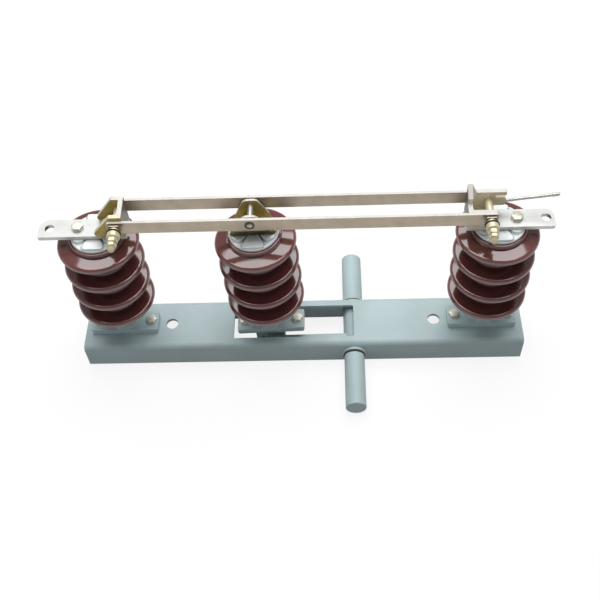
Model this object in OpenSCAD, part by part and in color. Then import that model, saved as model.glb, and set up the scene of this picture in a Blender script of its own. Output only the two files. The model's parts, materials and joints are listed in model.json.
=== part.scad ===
// Single-pole disconnect switch for an outdoor line: two fixed posts and a lifting middle post on a
// bent plate channel. Turning the shaft across the channel raises the middle post, which swings the
// pair of blades up out of the contact on the right post.
// Millimetres, +Z up, +X towards the contact end. The origin is on the ground, under the channel's middle.

/* [Base channel] */
// Length of the channel
base_len = 650; // [600:1:800]
// Width over the flanges
base_w = 84; // [80:1:110]
// Height of the channel
base_h = 43; // [42:1:60]
// Plate thickness
base_wall = 5; // [4:0.5:6]
// Outer radius of the two bends
bend_r = 8; // [6.5:0.5:10]
// Width of the slot that the middle post works in
slot_w = 56; // [54:1:58]
// Length of that slot
slot_len = 179; // [174:1:190]
// Diameter of the two holes that bolt the channel down
mount_d = 18; // [10:0.5:22]
// Distance between those two holes
mount_span = 392; // [370:1:410]

/* [Operating shaft] */
// Diameter of the shaft
shaft_d = 30; // [24:0.5:31]
// Length of the shaft
shaft_len = 272; // [200:1:400]
// Place of the shaft along the channel
shaft_x = 77; // [70:1:85]
// Height of the shaft axis
shaft_z = 18; // [17:0.5:20]
// Wall of the bush ring on each flange
bush_wall = 2.4; // [1.5:0.1:2.5]
// Length of the bush ring
bush_len = 4; // [2:0.5:10]
// Thickness of the retaining ring outside each bush
ring_t = 2; // [1.5:0.5:3]
// Radial width of a retaining ring
ring_w = 2.2; // [1.8:0.1:3]
// Depth of the groove that a retaining ring sits in
ring_depth = 1; // [0.5:0.25:1.5]
// Thickness of the crank arm
arm_t = 10; // [6:0.5:10]
// Height of the crank arm
arm_h = 21; // [18:0.5:22]
// Place of the crank pin along the channel when closed
crank_x = -45; // [-50:0.5:-40]
// Height of the crank pin when closed
crank_z = 16; // [15:0.5:17]
// Diameter of the crank pin
crank_pin_d = 10; // [8:0.5:12]
// Width of the lug that takes the crank pin
lug_w = 43; // [40:1:46]
// Thickness of that lug
lug_t = 12; // [8:0.5:16]
// Metal between the pin's slot and the lug's edge
lug_edge = 7.5; // [6:0.5:10]
// Radius of the lug's lower corners
lug_corner = 8; // [4:0.5:10]
// Diameter of the crank pin's keeper disc
keeper_d = 18; // [16:0.5:19]
// Thickness of that disc
keeper_t = 3; // [2:0.5:4]

/* [Posts] */
// Distance between the axes of the two fixed posts
post_span = 530; // [500:1:540]
// Diameter over the sheds
shed_d = 110; // [96:1:120]
// Diameter of the porcelain core
core_d = 74; // [66:1:76]
// Number of sheds on a post
shed_count = 4; // [3:1:5]
// Distance from one shed to the next
shed_pitch = 40.5; // [36:0.5:46]
// Radius of a shed's rounded rim
rim_r = 5; // [4:0.5:6]
// Fall of a shed's upper side from the core to the rim
shed_fall = 2.5; // [1:0.5:4]
// Porcelain below the lowest rim
porcelain_below = 26.5; // [20:0.5:60]
// Porcelain above the highest rim
porcelain_above = 19; // [18:0.5:26]
// Depth of the groove under the porcelain's top rim
groove = 3; // [2:0.5:3.5]
// Chamfer on the porcelain's top edge
porcelain_edge = 2; // [1:0.5:2.5]
// Length of a foot plate
foot_len = 100; // [96:1:102]
// Width of a foot plate
foot_w = 34; // [30:1:40]
// Thickness of a foot plate
foot_t = 10; // [8:0.5:14]
// Diameter of the neck between the plate and the cup
neck_d = 34; // [30:1:40]
// Height of that neck
neck_h = 9; // [8.5:0.5:16]
// Diameter of the foot's cup at its top
cup_d = 66; // [60:1:70]
// Height of the foot's flared cup
cup_h = 23; // [14:1:30]
// Distance between a foot's two bolts
foot_bolt_span = 79; // [76:1:80]
// Diameter of the cap's disc
cap_d = 67; // [60:1:72]
// Thickness of the cap's disc
cap_t = 4; // [3:0.5:6]
// Height of the two tapped bosses over the disc
boss_h = 4; // [2:0.5:8]
// Diameter of a boss
boss_d = 24; // [20:1:26]
// Distance between the two bosses
boss_span = 42; // [38:1:44]
// Width of the rib across the cap, between the bosses
rib_w = 28; // [20:1:32]
// Height of that rib over the disc
rib_h = 3; // [1:0.5:4]

/* [Terminals and brackets] */
// Width of a terminal bar
terminal_w = 30; // [24:1:34]
// Thickness of a terminal bar
terminal_t = 6; // [4:0.5:8]
// Reach of the hinge terminal beyond its post's axis
hinge_reach = 73; // [66:1:90]
// Reach of the contact terminal beyond its post's axis
contact_reach = 69; // [66:1:72]
// Diameter of the hole in a terminal's end
terminal_hole_d = 13; // [9:0.5:17]
// Distance from the hinge terminal's hole to the end of its bar
hinge_hole_edge = 14.5; // [11:0.5:16]
// Distance from the contact terminal's hole to the end of its bar
contact_hole_edge = 10.5; // [9.5:0.5:14]
// Radius of the hinge terminal's back corner
hinge_corner_r = 14; // [4:1:18]
// Radius of the contact terminal's back corner
contact_corner_r = 10; // [4:1:18]
// Radius of both terminals' front corners
front_corner_r = 3; // [1:0.5:6]
// Plate thickness of the folded brackets
bracket_t = 6; // [4:0.2:6.6]
// Width of both folded brackets, over their ears
bracket_w = 34.4; // [32:0.2:36]
// Height of the hinge bracket over its terminal
hinge_bracket_h = 40; // [36:1:44]
// Reach of the hinge bracket from its post's axis towards the contact
hinge_inner = 45; // [43:1:48]
// Length of the hinge bracket's ears
hinge_ear_len = 40; // [36:1:44]
// Length of the level top of those ears
hinge_ear_top = 16; // [14:1:22]
// Radius of their lower outer corner
hinge_ear_r = 6; // [3:0.5:8]
// Height of the contact bracket's back ear over its terminal
contact_bracket_h = 37; // [33:1:40]
// Reach of the contact bracket from its post's axis towards the hinge
contact_inner = 45; // [43:1:48]
// Reach of the contact bracket's back ear beyond the post's axis
contact_ear_out = 5; // [3:0.5:8]
// Height of that open end of the ears over the terminal
contact_ear_z = 9; // [6:0.5:12]
// Length of the contact bracket's plate
contact_plate_len = 28; // [26:1:34]
// Metal between the contact bolt's axis and the top of the front ear and of the web's front half
front_ear_edge = 8; // [7:0.5:14]
// Distance from the contact post's axis back to the open end of the front ear
front_ear_in = 8; // [6:0.5:10]
// Rise of the contact web's back corner over the back ear
web_rise = 10; // [4:1:16]
// Diameter of the arcing horn
horn_d = 4.4; // [3:0.2:5]
// Upward slope of the arcing horn
horn_slope = 8; // [0:1:14]
// Diameter of the horn's tip
horn_tip_d = 5.5; // [5:0.25:7]
// Length of the horn's tip
horn_tip = 10; // [6:1:16]

/* [Blades] */
// Height of a blade
blade_h = 20; // [18:0.5:24]
// Thickness of a blade
blade_t = 4; // [3:0.5:6]
// Height of the blades' pivot over the terminals
pivot_rise = 21.5; // [20:0.5:24]
// Distance from the hinge post's axis to the pivot
hinge_inset = 35; // [33:0.5:37]
// Distance from the contact bolt to the contact post's axis
contact_inset = 17; // [15:0.5:19]
// Length of blade beyond the pivot
blade_heel = 10; // [9:0.5:12]
// Length of blade beyond the contact bolt
blade_toe = 9; // [8:0.5:11]
// Radius of a blade's corners
blade_corner = 3; // [1:0.5:5]
// Place of the drive pin along the channel when closed
drive_x = -57; // [-62:0.5:-50]
// Diameter of the drive pin
drive_pin_d = 7.5; // [6:0.5:10]
// Length of drive pin that stands out of each blade
drive_pin_end = 3; // [2:0.5:5]
// Diameter of the drive pin's washers
washer_out = 13; // [12:0.5:15]
// Thickness of those washers
washer_t = 1.2; // [0.8:0.1:1.5]
// Thickness of the drive bracket
drive_t = 3.6; // [3:0.2:4]
// Width of a drive ear's top
drive_top_w = 18; // [14:0.5:22]
// Radius of the ear's upper corners
drive_ear_r = 5; // [2:0.5:7]
// Metal between the drive pin's axis and the ear's top
drive_edge = 9.5; // [8:0.5:12]
// Width of a drive ear's foot
drive_foot_w = 58; // [50:1:60]
// Length of the drive bracket's plate
drive_plate_len = 62; // [60:1:66]
// Width of that plate, over the feet of its ears
drive_plate_w = 23; // [22:0.5:26]
// Height over the plate's underside at which the ears start to step outwards
drive_step_z = 5; // [4:0.5:8]
// Height of that step
drive_step_h = 9; // [6:0.5:12]

/* [Bolts] */
// Diameter of the pivot and contact bolts
pivot_bolt_d = 10; // [8:0.5:10]
// Diameter of their threaded front end, which takes the nut
pivot_thread_d = 8; // [6:0.5:8]
// Length of those bolts in front of the blades
pivot_bolt_front = 37.5; // [36:0.5:50]
// Diameter of their round heads
pivot_head_d = 16; // [14:0.5:20]
// Height of their round heads
pivot_head_h = 3; // [2:0.5:5]
// Width of a pressure plate
pressure_w = 20; // [17:1:24]
// Height of a pressure plate
pressure_h = 20; // [17:1:24]
// Thickness of a pressure plate
pressure_t = 2.5; // [2:0.5:3]
// Diameter of the collar behind a spring cup
collar_d = 13; // [12:0.5:16]
// Length of that collar
collar_h = 5; // [3:0.5:6]
// Diameter of the dished springs under a cup
spring_d = 19; // [17:0.5:20]
// Height of those springs, pressed together
spring_h = 1.5; // [1:0.5:3]
// Diameter of a spring cup
spring_cup_d = 17; // [15:0.5:20]
// Height of a spring cup
spring_cup_h = 8; // [6:0.5:9]
// Thickness of the washer between a spring cup and its nut
nut_washer_t = 1; // [0.5:0.5:2]
// Diameter of the foot and terminal bolts
bolt_d = 8; // [6:0.5:10]

/* [Clearances] */
// Gap between a moving piece and the piece that it slides on
run_gap = 0.3; // [0.3:0.05:0.5]
// Gap around a bolt that doesn't turn
bolt_gap = 0.2; // [0.1:0.05:0.4]
// Gap between a blade's notch and the contact bolt
notch_gap = 0.6; // [0.5:0.1:1]
// Gap between the crank arm and the slot's front edge
arm_gap = 5; // [5:0.5:7]
// Gap between the crank arm, the lug and the pin's keeper disc
lug_gap = 1; // [0.5:0.5:2]
// Play that the crank pin has along the lug, away from the shaft
pin_travel = 11.2; // [11:0.2:13]
// Play that the crank pin has up the lug
pin_lift = 4.2; // [4:0.2:5]

/* [Hidden] */

$fn = 48;
arc_steps = 8;
cut = 1;

paint_green = "#a3b2b4";
porcelain_brown = "#4a2426";
cast_grey = "#a9b0ae";
tinned_silver = "#dcdcd8";
zinc_gold = "#8f7f48";
zinc_pale = "#d8cdb0";
plated_copper = "#a39684";
pin_silver = "#d9d6cc";

// Levels of a post over the underside of its foot
porcelain_z = foot_t + neck_h + cup_h;
porcelain_top = porcelain_z + porcelain_below + (shed_count - 1) * shed_pitch + porcelain_above;
disc_top = porcelain_top + cap_t;
post_h = disc_top + boss_h;

// Levels and places on the whole switch
terminal_z = base_h + post_h;
terminal_top = terminal_z + terminal_t;
pivot_z = terminal_top + pivot_rise;
hinge_x = -post_span / 2 + hinge_inset;
contact_x = post_span / 2 - contact_inset;
blade_in = bracket_w / 2 + run_gap;
blade_out = blade_in + blade_t;
pressure_in = blade_out + run_gap;
pressure_out = pressure_in + pressure_t;
stack_out = pressure_out + collar_h + spring_h + spring_cup_h;

// The middle post leans along the line from the crank pin to the drive pin
lean = atan((crank_x - drive_x) / (pivot_z - crank_z));
link_len = norm([crank_x - drive_x, pivot_z - crank_z]);
drive_base = link_len - pivot_rise - terminal_t - drive_t;
lug_h = drive_base - post_h;

// Places across the channel of the crank arm, the lug behind it and the rings on the shaft
arm_back = -slot_w / 2 + arm_gap + arm_t;
lug_front = arm_back + lug_gap;
lug_back = lug_front + lug_t;
ring_y = base_w / 2 + bush_len + run_gap;

// Bolt proportions
function head_h(d) = 0.7 * d;
function nut_h(d) = 0.8 * d;
function across_corners(d) = 1.96 * d;
function washer_d(d) = 2 * d;

// Points of an arc in the order of its angles
function arc(x, y, r, a0, a1) =
    [for (i = [0:arc_steps]) let (a = a0 + (a1 - a0) * i / arc_steps) [x + r * cos(a), y + r * sin(a)]];

// Angle at which a line from point p touches the circle round c, on one side of it or the other
function touch(p, c, r, side) = atan2(p.y - c.y, p.x - c.x) + side * acos(r / norm(p - c));

// A plate that stands along X, from y0 to y1, with its outline in X and Z
module plate_xz(y0, y1) {
    translate([0, y1, 0]) rotate([90, 0, 0]) linear_extrude(y1 - y0) children();
}

// A round bar along Y
module rod_y(x, z, d, y0, y1) {
    translate([x, y1, z]) rotate([90, 0, 0]) cylinder(d = d, h = y1 - y0);
}

// A six-sided bar along Y
module hex_y(x, z, d, y0, y1) {
    translate([x, y1, z]) rotate([90, 0, 0]) cylinder(d = across_corners(d), h = y1 - y0, $fn = 6);
}

// A hexagon bolt standing on z = 0 with its shank going down
module hex_bolt(d, shank) {
    cylinder(d = across_corners(d), h = head_h(d), $fn = 6);
    translate([0, 0, -shank]) cylinder(d = d, h = shank);
}

// A hexagon nut with its top at z = 0
module hex_nut(d) {
    difference() {
        translate([0, 0, -nut_h(d)]) cylinder(d = across_corners(d), h = nut_h(d), $fn = 6);
        translate([0, 0, -nut_h(d) - cut]) cylinder(d = d + 2 * bolt_gap, h = nut_h(d) + 2 * cut);
    }
}

// The hole that a foot or terminal bolt passes through, up from z = 0
module bolt_hole(h) {
    translate([0, 0, -cut]) cylinder(d = bolt_d + 2 * bolt_gap, h = h + 2 * cut);
}

// Two copies at equal distances either side of the middle, along X
module pair_x(span) {
    for (side = [-1, 1]) translate([side * span / 2, 0, 0]) children();
}

// The frames that the posts stand in
module at_left() {
    translate([-post_span / 2, 0, base_h]) children();
}

module at_right() {
    translate([post_span / 2, 0, base_h]) children();
}

module at_link() {
    translate([crank_x, 0, crank_z]) rotate([0, -lean, 0]) children();
}

module at_middle() {
    at_link() translate([0, 0, lug_h]) children();
}

// Outline of one shed, from its underside over the rim to the core above it
function shed_outline(z) =
    let (core_r = core_d / 2,
         rim = [shed_d / 2 - rim_r, z + rim_r],
         top = [core_r, z + 2 * rim_r + shed_fall])
    concat([[core_r, z + rim_r]], arc(rim.x, rim.y, rim_r, -90, touch(top, rim, rim_r, -1)), [top]);

module porcelain() {
    core_r = core_d / 2;
    rim_z = porcelain_z + porcelain_below;
    neck_z = rim_z + (shed_count - 1) * shed_pitch + rim_r * 2 + shed_fall + groove / 2;
    outline = concat([[0, porcelain_z], [core_r - groove, porcelain_z], [core_r, porcelain_z + groove]],
                     [for (k = [0:shed_count - 1]) each shed_outline(rim_z + k * shed_pitch)]);
    edge = porcelain_edge;
    top_edge = [[core_r, porcelain_top - edge], [core_r - edge, porcelain_top], [0, porcelain_top]];
    color(porcelain_brown) difference() {
        rotate_extrude() polygon(concat(outline, top_edge));
        rotate_extrude() translate([core_r, neck_z]) circle(d = groove);
    }
}

module foot() {
    color(paint_green) difference() {
        union() {
            translate([-foot_len / 2, -foot_w / 2, 0]) cube([foot_len, foot_w, foot_t]);
            translate([0, 0, foot_t]) cylinder(d = neck_d, h = neck_h);
            translate([0, 0, foot_t + neck_h]) cylinder(d1 = neck_d, d2 = cup_d, h = cup_h);
        }
        pair_x(foot_bolt_span) bolt_hole(foot_t);
    }
}

module cap() {
    color(cast_grey) difference() {
        union() {
            translate([0, 0, porcelain_top]) cylinder(d = cap_d, h = cap_t);
            pair_x(boss_span) translate([0, 0, disc_top]) cylinder(d = boss_d, h = boss_h);
            translate([0, 0, disc_top]) intersection() {
                translate([-rib_w / 2, -cap_d / 2, -cut]) cube([rib_w, cap_d, rib_h + cut]);
                cylinder(d = cap_d, h = rib_h);
            }
        }
        pair_x(boss_span) translate([0, 0, porcelain_top]) bolt_hole(cap_t + boss_h);
    }
}

// Foot bolts of a fixed post, with their nuts under the channel's web
module foot_bolts() {
    color(zinc_pale) pair_x(foot_bolt_span) {
        translate([0, 0, foot_t]) hex_bolt(bolt_d, foot_t + base_wall + nut_h(bolt_d));
        translate([0, 0, -base_wall]) hex_nut(bolt_d);
    }
}

module base_channel() {
    in_r = bend_r - base_wall;
    half = base_w / 2;
    slot_x = shaft_x - slot_len;
    outer = concat([[half, 0]], arc(half - bend_r, base_h - bend_r, bend_r, 0, 90),
                   arc(bend_r - half, base_h - bend_r, bend_r, 90, 180), [[-half, 0]]);
    inner = concat([[base_wall - half, 0]], arc(bend_r - half, base_h - bend_r, in_r, 180, 90),
                   arc(half - bend_r, base_h - bend_r, in_r, 90, 0), [[half - base_wall, 0]]);
    web_cut = base_wall + 2 * cut;
    color(paint_green) difference() {
        translate([-base_len / 2, 0, 0]) rotate([90, 0, 90]) linear_extrude(base_len)
            polygon(concat(outer, inner));
        translate([slot_x, -slot_w / 2, base_h - base_wall - cut]) cube([slot_len, slot_w, web_cut]);
        translate([0, 0, base_h - base_wall]) {
            pair_x(mount_span) translate([0, 0, -cut]) cylinder(d = mount_d, h = web_cut);
            pair_x(post_span) pair_x(foot_bolt_span) bolt_hole(base_wall);
        }
        rod_y(shaft_x, shaft_z, shaft_d + 2 * run_gap, -half - cut, half + cut);
    }
}

module shaft_bushes() {
    bore = shaft_d + 2 * run_gap;
    half = base_w / 2;
    color(paint_green) for (y = [-half - bush_len, half]) difference() {
        rod_y(shaft_x, shaft_z, bore + 2 * bush_wall, y, y + bush_len);
        rod_y(shaft_x, shaft_z, bore, y - cut, y + bush_len + cut);
    }
}

module left_foot() { at_left() foot(); }
module left_insulator() { at_left() porcelain(); }
module left_cap() { at_left() cap(); }
module left_foot_bolts() { at_left() foot_bolts(); }
module right_foot() { at_right() foot(); }
module right_insulator() { at_right() porcelain(); }
module right_cap() { at_right() cap(); }
module right_foot_bolts() { at_right() foot_bolts(); }

// A terminal bar that reaches outwards to -X from a post's axis, with a wide round on its back outer corner
module terminal(reach, inner, back_r, hole_edge) {
    half = terminal_w / 2;
    front_r = front_corner_r;
    color(tinned_silver) translate([0, 0, post_h]) difference() {
        linear_extrude(terminal_t) polygon(concat(
            [[inner, -half], [inner, half]],
            arc(back_r - reach, half - back_r, back_r, 90, 180),
            arc(front_r - reach, front_r - half, front_r, 180, 270)));
        translate([hole_edge - reach, 0, -cut]) cylinder(d = terminal_hole_d, h = terminal_t + 2 * cut);
        pair_x(boss_span) bolt_hole(terminal_t);
    }
}

// One bolt on the open end of a terminal and one inside its bracket, on the bracket's plate
module terminal_bolts() {
    shank = terminal_t + boss_h + cap_t;
    color(zinc_pale) translate([0, 0, post_h + terminal_t]) {
        translate([-boss_span / 2, 0, 0]) hex_bolt(bolt_d, shank);
        translate([boss_span / 2, 0, bracket_t]) hex_bolt(bolt_d, shank + bracket_t);
    }
}

module hinge_terminal() {
    at_left() terminal(hinge_reach, hinge_inner, hinge_corner_r, hinge_hole_edge);
}

module hinge_terminal_bolts() { at_left() terminal_bolts(); }

module contact_terminal() {
    at_right() mirror([1, 0, 0])
        terminal(contact_reach, contact_inner, contact_corner_r, contact_hole_edge);
}

module contact_terminal_bolts() { at_right() mirror([1, 0, 0]) terminal_bolts(); }

// A folded bracket on a terminal: a plate, a cross web at the inner end and two ears. The front ear takes
// the first outline given and the back ear the last
module folded_bracket(plate_x, inner, web_h) {
    half = bracket_w / 2;
    translate([plate_x, -half, 0]) cube([inner - plate_x, bracket_w, bracket_t]);
    translate([inner - bracket_t, -half, 0]) cube([bracket_t, bracket_w, web_h]);
    plate_xz(-half, bracket_t - half) children(0);
    plate_xz(half - bracket_t, half) children($children - 1);
}

// The holes in a bracket for its pivot bolt at pivot_x and its terminal bolt at bolt_x
module bracket_holes(pivot_x, bolt_x) {
    rod_y(pivot_x, pivot_z, pivot_bolt_d + 2 * bolt_gap, -bracket_w, bracket_w);
    translate([bolt_x, 0, terminal_top]) bolt_hole(bracket_t);
}

module hinge_bracket() {
    inner = hinge_inner;
    top = hinge_bracket_h;
    slant = [inner - hinge_ear_top, top];
    corner = [inner - hinge_ear_len + hinge_ear_r, hinge_ear_r];
    side = touch(slant, corner, hinge_ear_r, 1);
    color(zinc_gold) difference() {
        at_left() translate([0, 0, post_h + terminal_t]) folded_bracket(corner.x, inner, top)
            polygon(concat([[inner, 0], [inner, top], slant],
                           arc(corner.x, corner.y, hinge_ear_r, side, 270)));
        bracket_holes(hinge_x, (boss_span - post_span) / 2);
    }
}

// Outline of an ear of the contact bracket, from its open end to the web
module contact_ear(end, top) {
    inner = contact_inner;
    leg = inner - contact_plate_len;
    polygon([[inner, 0], [inner, top], [end, top], [end, contact_ear_z], [leg, contact_ear_z], [leg, 0]]);
}

// The back half of the contact bracket's web is taller than the front half and slopes up to its back corner
module contact_bracket() {
    inner = contact_inner;
    top = contact_bracket_h;
    front_top = pivot_rise + front_ear_edge;
    half = bracket_w / 2;
    color(zinc_gold) difference() {
        at_right() translate([0, 0, post_h + terminal_t]) mirror([1, 0, 0]) {
            folded_bracket(inner - contact_plate_len, inner, front_top) {
                contact_ear(front_ear_in, front_top);
                contact_ear(-contact_ear_out, top);
            }
            translate([inner - bracket_t, 0, 0]) rotate([90, 0, 90]) linear_extrude(bracket_t)
                polygon([[0, 0], [half, 0], [half, top + web_rise], [0, top]]);
        }
        bracket_holes(contact_x, (post_span - boss_span) / 2);
    }
}

// The horn runs out from the end of the contact bracket's back ear, as far out as the hinge terminal does
module arcing_horn() {
    start = post_span / 2 + contact_ear_out;
    reach = post_span / 2 + hinge_reach - start;
    slant = reach / cos(horn_slope);
    color(cast_grey) intersection() {
        translate([start, (bracket_w - bracket_t) / 2, terminal_top + contact_bracket_h / 2])
            rotate([0, 90 - horn_slope, 0]) {
                translate([0, 0, -horn_d]) cylinder(d = horn_d, h = slant + 2 * horn_d);
                translate([0, 0, slant - horn_tip]) cylinder(d = horn_tip_d, h = horn_tip + horn_d);
            }
        translate([start, -base_w, 0]) cube([reach, 2 * base_w, 2 * terminal_top]);
    }
}

// A through bolt along Y with a low round head behind the back blade and a thinner thread at the front
module pivot_bolt(x) {
    color(zinc_pale) {
        rod_y(x, pivot_z, pivot_thread_d, -blade_out - pivot_bolt_front, -stack_out);
        rod_y(x, pivot_z, pivot_bolt_d, -stack_out, pressure_in);
        rod_y(x, pivot_z, pivot_head_d, pressure_in, pressure_in + pivot_head_h);
    }
}

// What is threaded on a pivot bolt has this hole along Y, for the bolt's diameter there
module pivot_hole(x, d) {
    rod_y(x, pivot_z, d + 2 * bolt_gap, -base_w, 0);
}

module pressure_plate(x) {
    color(zinc_gold) difference() {
        translate([x - pressure_w / 2, -pressure_out, pivot_z - pressure_h / 2])
            cube([pressure_w, pressure_t, pressure_h]);
        pivot_hole(x, pivot_bolt_d);
    }
}

// The collar, the dished springs and the cup over them
module spring_cup(x) {
    spring = -pressure_out - collar_h;
    cup = spring - spring_h;
    color(zinc_pale) difference() {
        union() {
            rod_y(x, pivot_z, collar_d, spring, -pressure_out);
            rod_y(x, pivot_z, spring_d, cup, spring);
            rod_y(x, pivot_z, spring_cup_d, -stack_out, cup);
        }
        pivot_hole(x, pivot_bolt_d);
    }
}

// The washer on a spring cup and the nut that presses the stack together
module pivot_nut(x) {
    seat = -stack_out - nut_washer_t;
    color(zinc_pale) difference() {
        union() {
            rod_y(x, pivot_z, washer_d(pivot_thread_d), seat, -stack_out);
            hex_y(x, pivot_z, pivot_thread_d, seat - nut_h(pivot_thread_d), seat);
        }
        pivot_hole(x, pivot_thread_d);
    }
}

module hinge_bolt() { pivot_bolt(hinge_x); }
module hinge_pressure_plate() { pressure_plate(hinge_x); }
module hinge_spring_cup() { spring_cup(hinge_x); }
module hinge_nut() { pivot_nut(hinge_x); }
module contact_bolt() { pivot_bolt(contact_x); }
module contact_pressure_plate() { pressure_plate(contact_x); }
module contact_spring_cup() { spring_cup(contact_x); }
module contact_nut() { pivot_nut(contact_x); }

module operating_shaft() {
    color(paint_green) difference() {
        rod_y(shaft_x, shaft_z, shaft_d, -shaft_len / 2, shaft_len / 2);
        for (side = [-1, 1]) ring_groove(side) {
            rod_y(shaft_x, shaft_z, shaft_d + 2 * cut, 0, ring_t + 2 * bolt_gap);
            rod_y(shaft_x, shaft_z, shaft_d - 2 * ring_depth, -cut, ring_t + 2 * bolt_gap + cut);
        }
    }
}

// A ring between two rods, the outer one first, beyond the front bush for side = -1 or the back one for 1
module ring_groove(side) {
    mirror([0, side < 0 ? 1 : 0, 0]) translate([0, ring_y, 0]) difference() {
        children(0);
        children(1);
    }
}

// The rings keep the shaft from sliding out of its bushes
module shaft_rings() {
    bore = shaft_d - 2 * ring_depth + 2 * bolt_gap;
    color(pin_silver) for (side = [-1, 1]) ring_groove(side) {
        rod_y(shaft_x, shaft_z, bore + 2 * ring_w, bolt_gap, bolt_gap + ring_t);
        rod_y(shaft_x, shaft_z, bore, 0, 2 * ring_t);
    }
}

// The arm is coped round the shaft and ends in an eye for the crank pin
module crank_arm() {
    reach = shaft_x - crank_x;
    half = arm_h / 2;
    slope = atan((shaft_z - crank_z) / reach);
    color(paint_green) difference() {
        translate([crank_x, 0, crank_z]) rotate([0, -slope, 0]) plate_xz(arm_back - arm_t, arm_back)
            polygon(concat(arc(0, 0, half, 90, 270), [[reach, -half], [reach, half]]));
        rod_y(shaft_x, shaft_z, shaft_d + 2 * bolt_gap, -slot_w, slot_w);
        rod_y(crank_x, crank_z, crank_pin_d + 2 * bolt_gap, -slot_w, slot_w);
    }
}

// The crank pin ends in a keeper disc behind the lug
module crank_pin() {
    keeper_y = lug_back + lug_gap;
    color(pin_silver) {
        rod_y(crank_x, crank_z, crank_pin_d, arm_back - arm_t, keeper_y);
        rod_y(crank_x, crank_z, keeper_d, keeper_y, keeper_y + keeper_t);
    }
}

module middle_foot() { at_middle() foot(); }
module middle_insulator() { at_middle() porcelain(); }
module middle_cap() { at_middle() cap(); }

module middle_foot_bolts() {
    color(zinc_pale) at_middle() pair_x(foot_bolt_span) translate([0, 0, foot_t]) hex_bolt(bolt_d, foot_t);
}

// The lug hangs under the middle foot and takes the crank pin in a short slot
module drive_lug() {
    low = arm_h / 2;
    slot_r = crank_pin_d / 2 + run_gap;
    corner = lug_corner;
    left = -pin_travel - slot_r - lug_edge;
    right = left + lug_w;
    color(paint_green) at_link() difference() {
        plate_xz(lug_front, lug_back) polygon(concat(
            [[right, lug_h], [left, lug_h]],
            arc(left + corner, corner - low, corner, 180, 270),
            arc(right - corner, corner - low, corner, 270, 360)));
        for (x = [-pin_travel, 0], z = [0, pin_lift]) rod_y(x, z, 2 * slot_r, -slot_w, slot_w);
        translate([-pin_travel - slot_r, -slot_w, 0]) cube([pin_travel + 2 * slot_r, 2 * slot_w, pin_lift]);
        translate([-pin_travel, -slot_w, -slot_r]) cube([pin_travel, 2 * slot_w, pin_lift + 2 * slot_r]);
    }
}

// Two ears on a plate that is bolted to the middle cap. Over the plate each ear steps out towards its blade
module drive_bracket() {
    ear_out = blade_in - run_gap - washer_t;
    ear_foot = drive_plate_w / 2;
    foot = [drive_foot_w / 2, drive_base];
    top = link_len + drive_edge;
    corner = [drive_top_w / 2 - drive_ear_r, top - drive_ear_r];
    side = touch(foot, corner, drive_ear_r, 1);
    step = drive_base + drive_step_z;
    out_z = step + drive_step_h;
    color(zinc_gold) at_link() difference() {
        union() {
            translate([-drive_plate_len / 2, -ear_foot, drive_base])
                cube([drive_plate_len, drive_plate_w, drive_t]);
            intersection() {
                plate_xz(-ear_out, ear_out) polygon(concat(
                    [[-foot.x, foot.y], foot],
                    arc(corner.x, corner.y, drive_ear_r, side, 90),
                    arc(-corner.x, corner.y, drive_ear_r, 90, 180 - side)));
                for (back = [0, 1]) mirror([0, back, 0]) translate([-foot.x, 0, 0]) rotate([90, 0, 90])
                    linear_extrude(drive_foot_w) polygon([
                        [-ear_foot, drive_base], [-ear_foot, step], [-ear_out, out_z], [-ear_out, top],
                        [drive_t - ear_out, top], [drive_t - ear_out, out_z],
                        [drive_t - ear_foot, step], [drive_t - ear_foot, drive_base]]);
            }
        }
        rod_y(0, link_len, drive_pin_d + 2 * run_gap, -slot_w, slot_w);
        pair_x(boss_span) translate([0, 0, drive_base]) bolt_hole(drive_t);
    }
}

module drive_bracket_bolts() {
    color(zinc_pale) at_link() pair_x(boss_span) translate([0, 0, drive_base + drive_t])
        hex_bolt(bolt_d, drive_t + boss_h + cap_t);
}

// A flat blade with a hole at the pivot, one at the drive pin and a notch that drops over the contact bolt
module blade(y0) {
    r = blade_corner;
    x0 = hinge_x - blade_heel + r;
    x1 = contact_x + blade_toe - r;
    z0 = pivot_z - blade_h / 2 + r;
    z1 = pivot_z + blade_h / 2 - r;
    notch = pivot_bolt_d + 2 * notch_gap;
    color(plated_copper) difference() {
        plate_xz(y0, y0 + blade_t) polygon(concat(
            arc(x0, z0, r, 270, 180), arc(x0, z1, r, 180, 90),
            arc(x1, z1, r, 90, 0), arc(x1, z0, r, 0, -90)));
        rod_y(hinge_x, pivot_z, pivot_bolt_d + 2 * run_gap, y0 - cut, y0 + blade_t + cut);
        rod_y(drive_x, pivot_z, drive_pin_d + 2 * bolt_gap, y0 - cut, y0 + blade_t + cut);
        rod_y(contact_x, pivot_z, notch, y0 - cut, y0 + blade_t + cut);
        translate([contact_x - notch / 2, y0 - cut, pivot_z - blade_h])
            cube([notch, blade_t + 2 * cut, blade_h]);
    }
}

module front_blade() { blade(-blade_out); }
module back_blade() { blade(blade_in); }

// The drive pin is riveted over outside both blades
module drive_pin() {
    half = blade_out + drive_pin_end;
    color(pin_silver) rod_y(drive_x, pivot_z, drive_pin_d, -half, half);
}

// A washer on each side of both blades
module drive_pin_washers() {
    faces = [-blade_out - washer_t, -blade_in, blade_in - washer_t, blade_out];
    color(zinc_gold) for (y = faces) difference() {
        rod_y(drive_x, pivot_z, washer_out, y, y + washer_t);
        rod_y(drive_x, pivot_z, drive_pin_d + 2 * bolt_gap, y - cut, y + washer_t + cut);
    }
}

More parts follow.
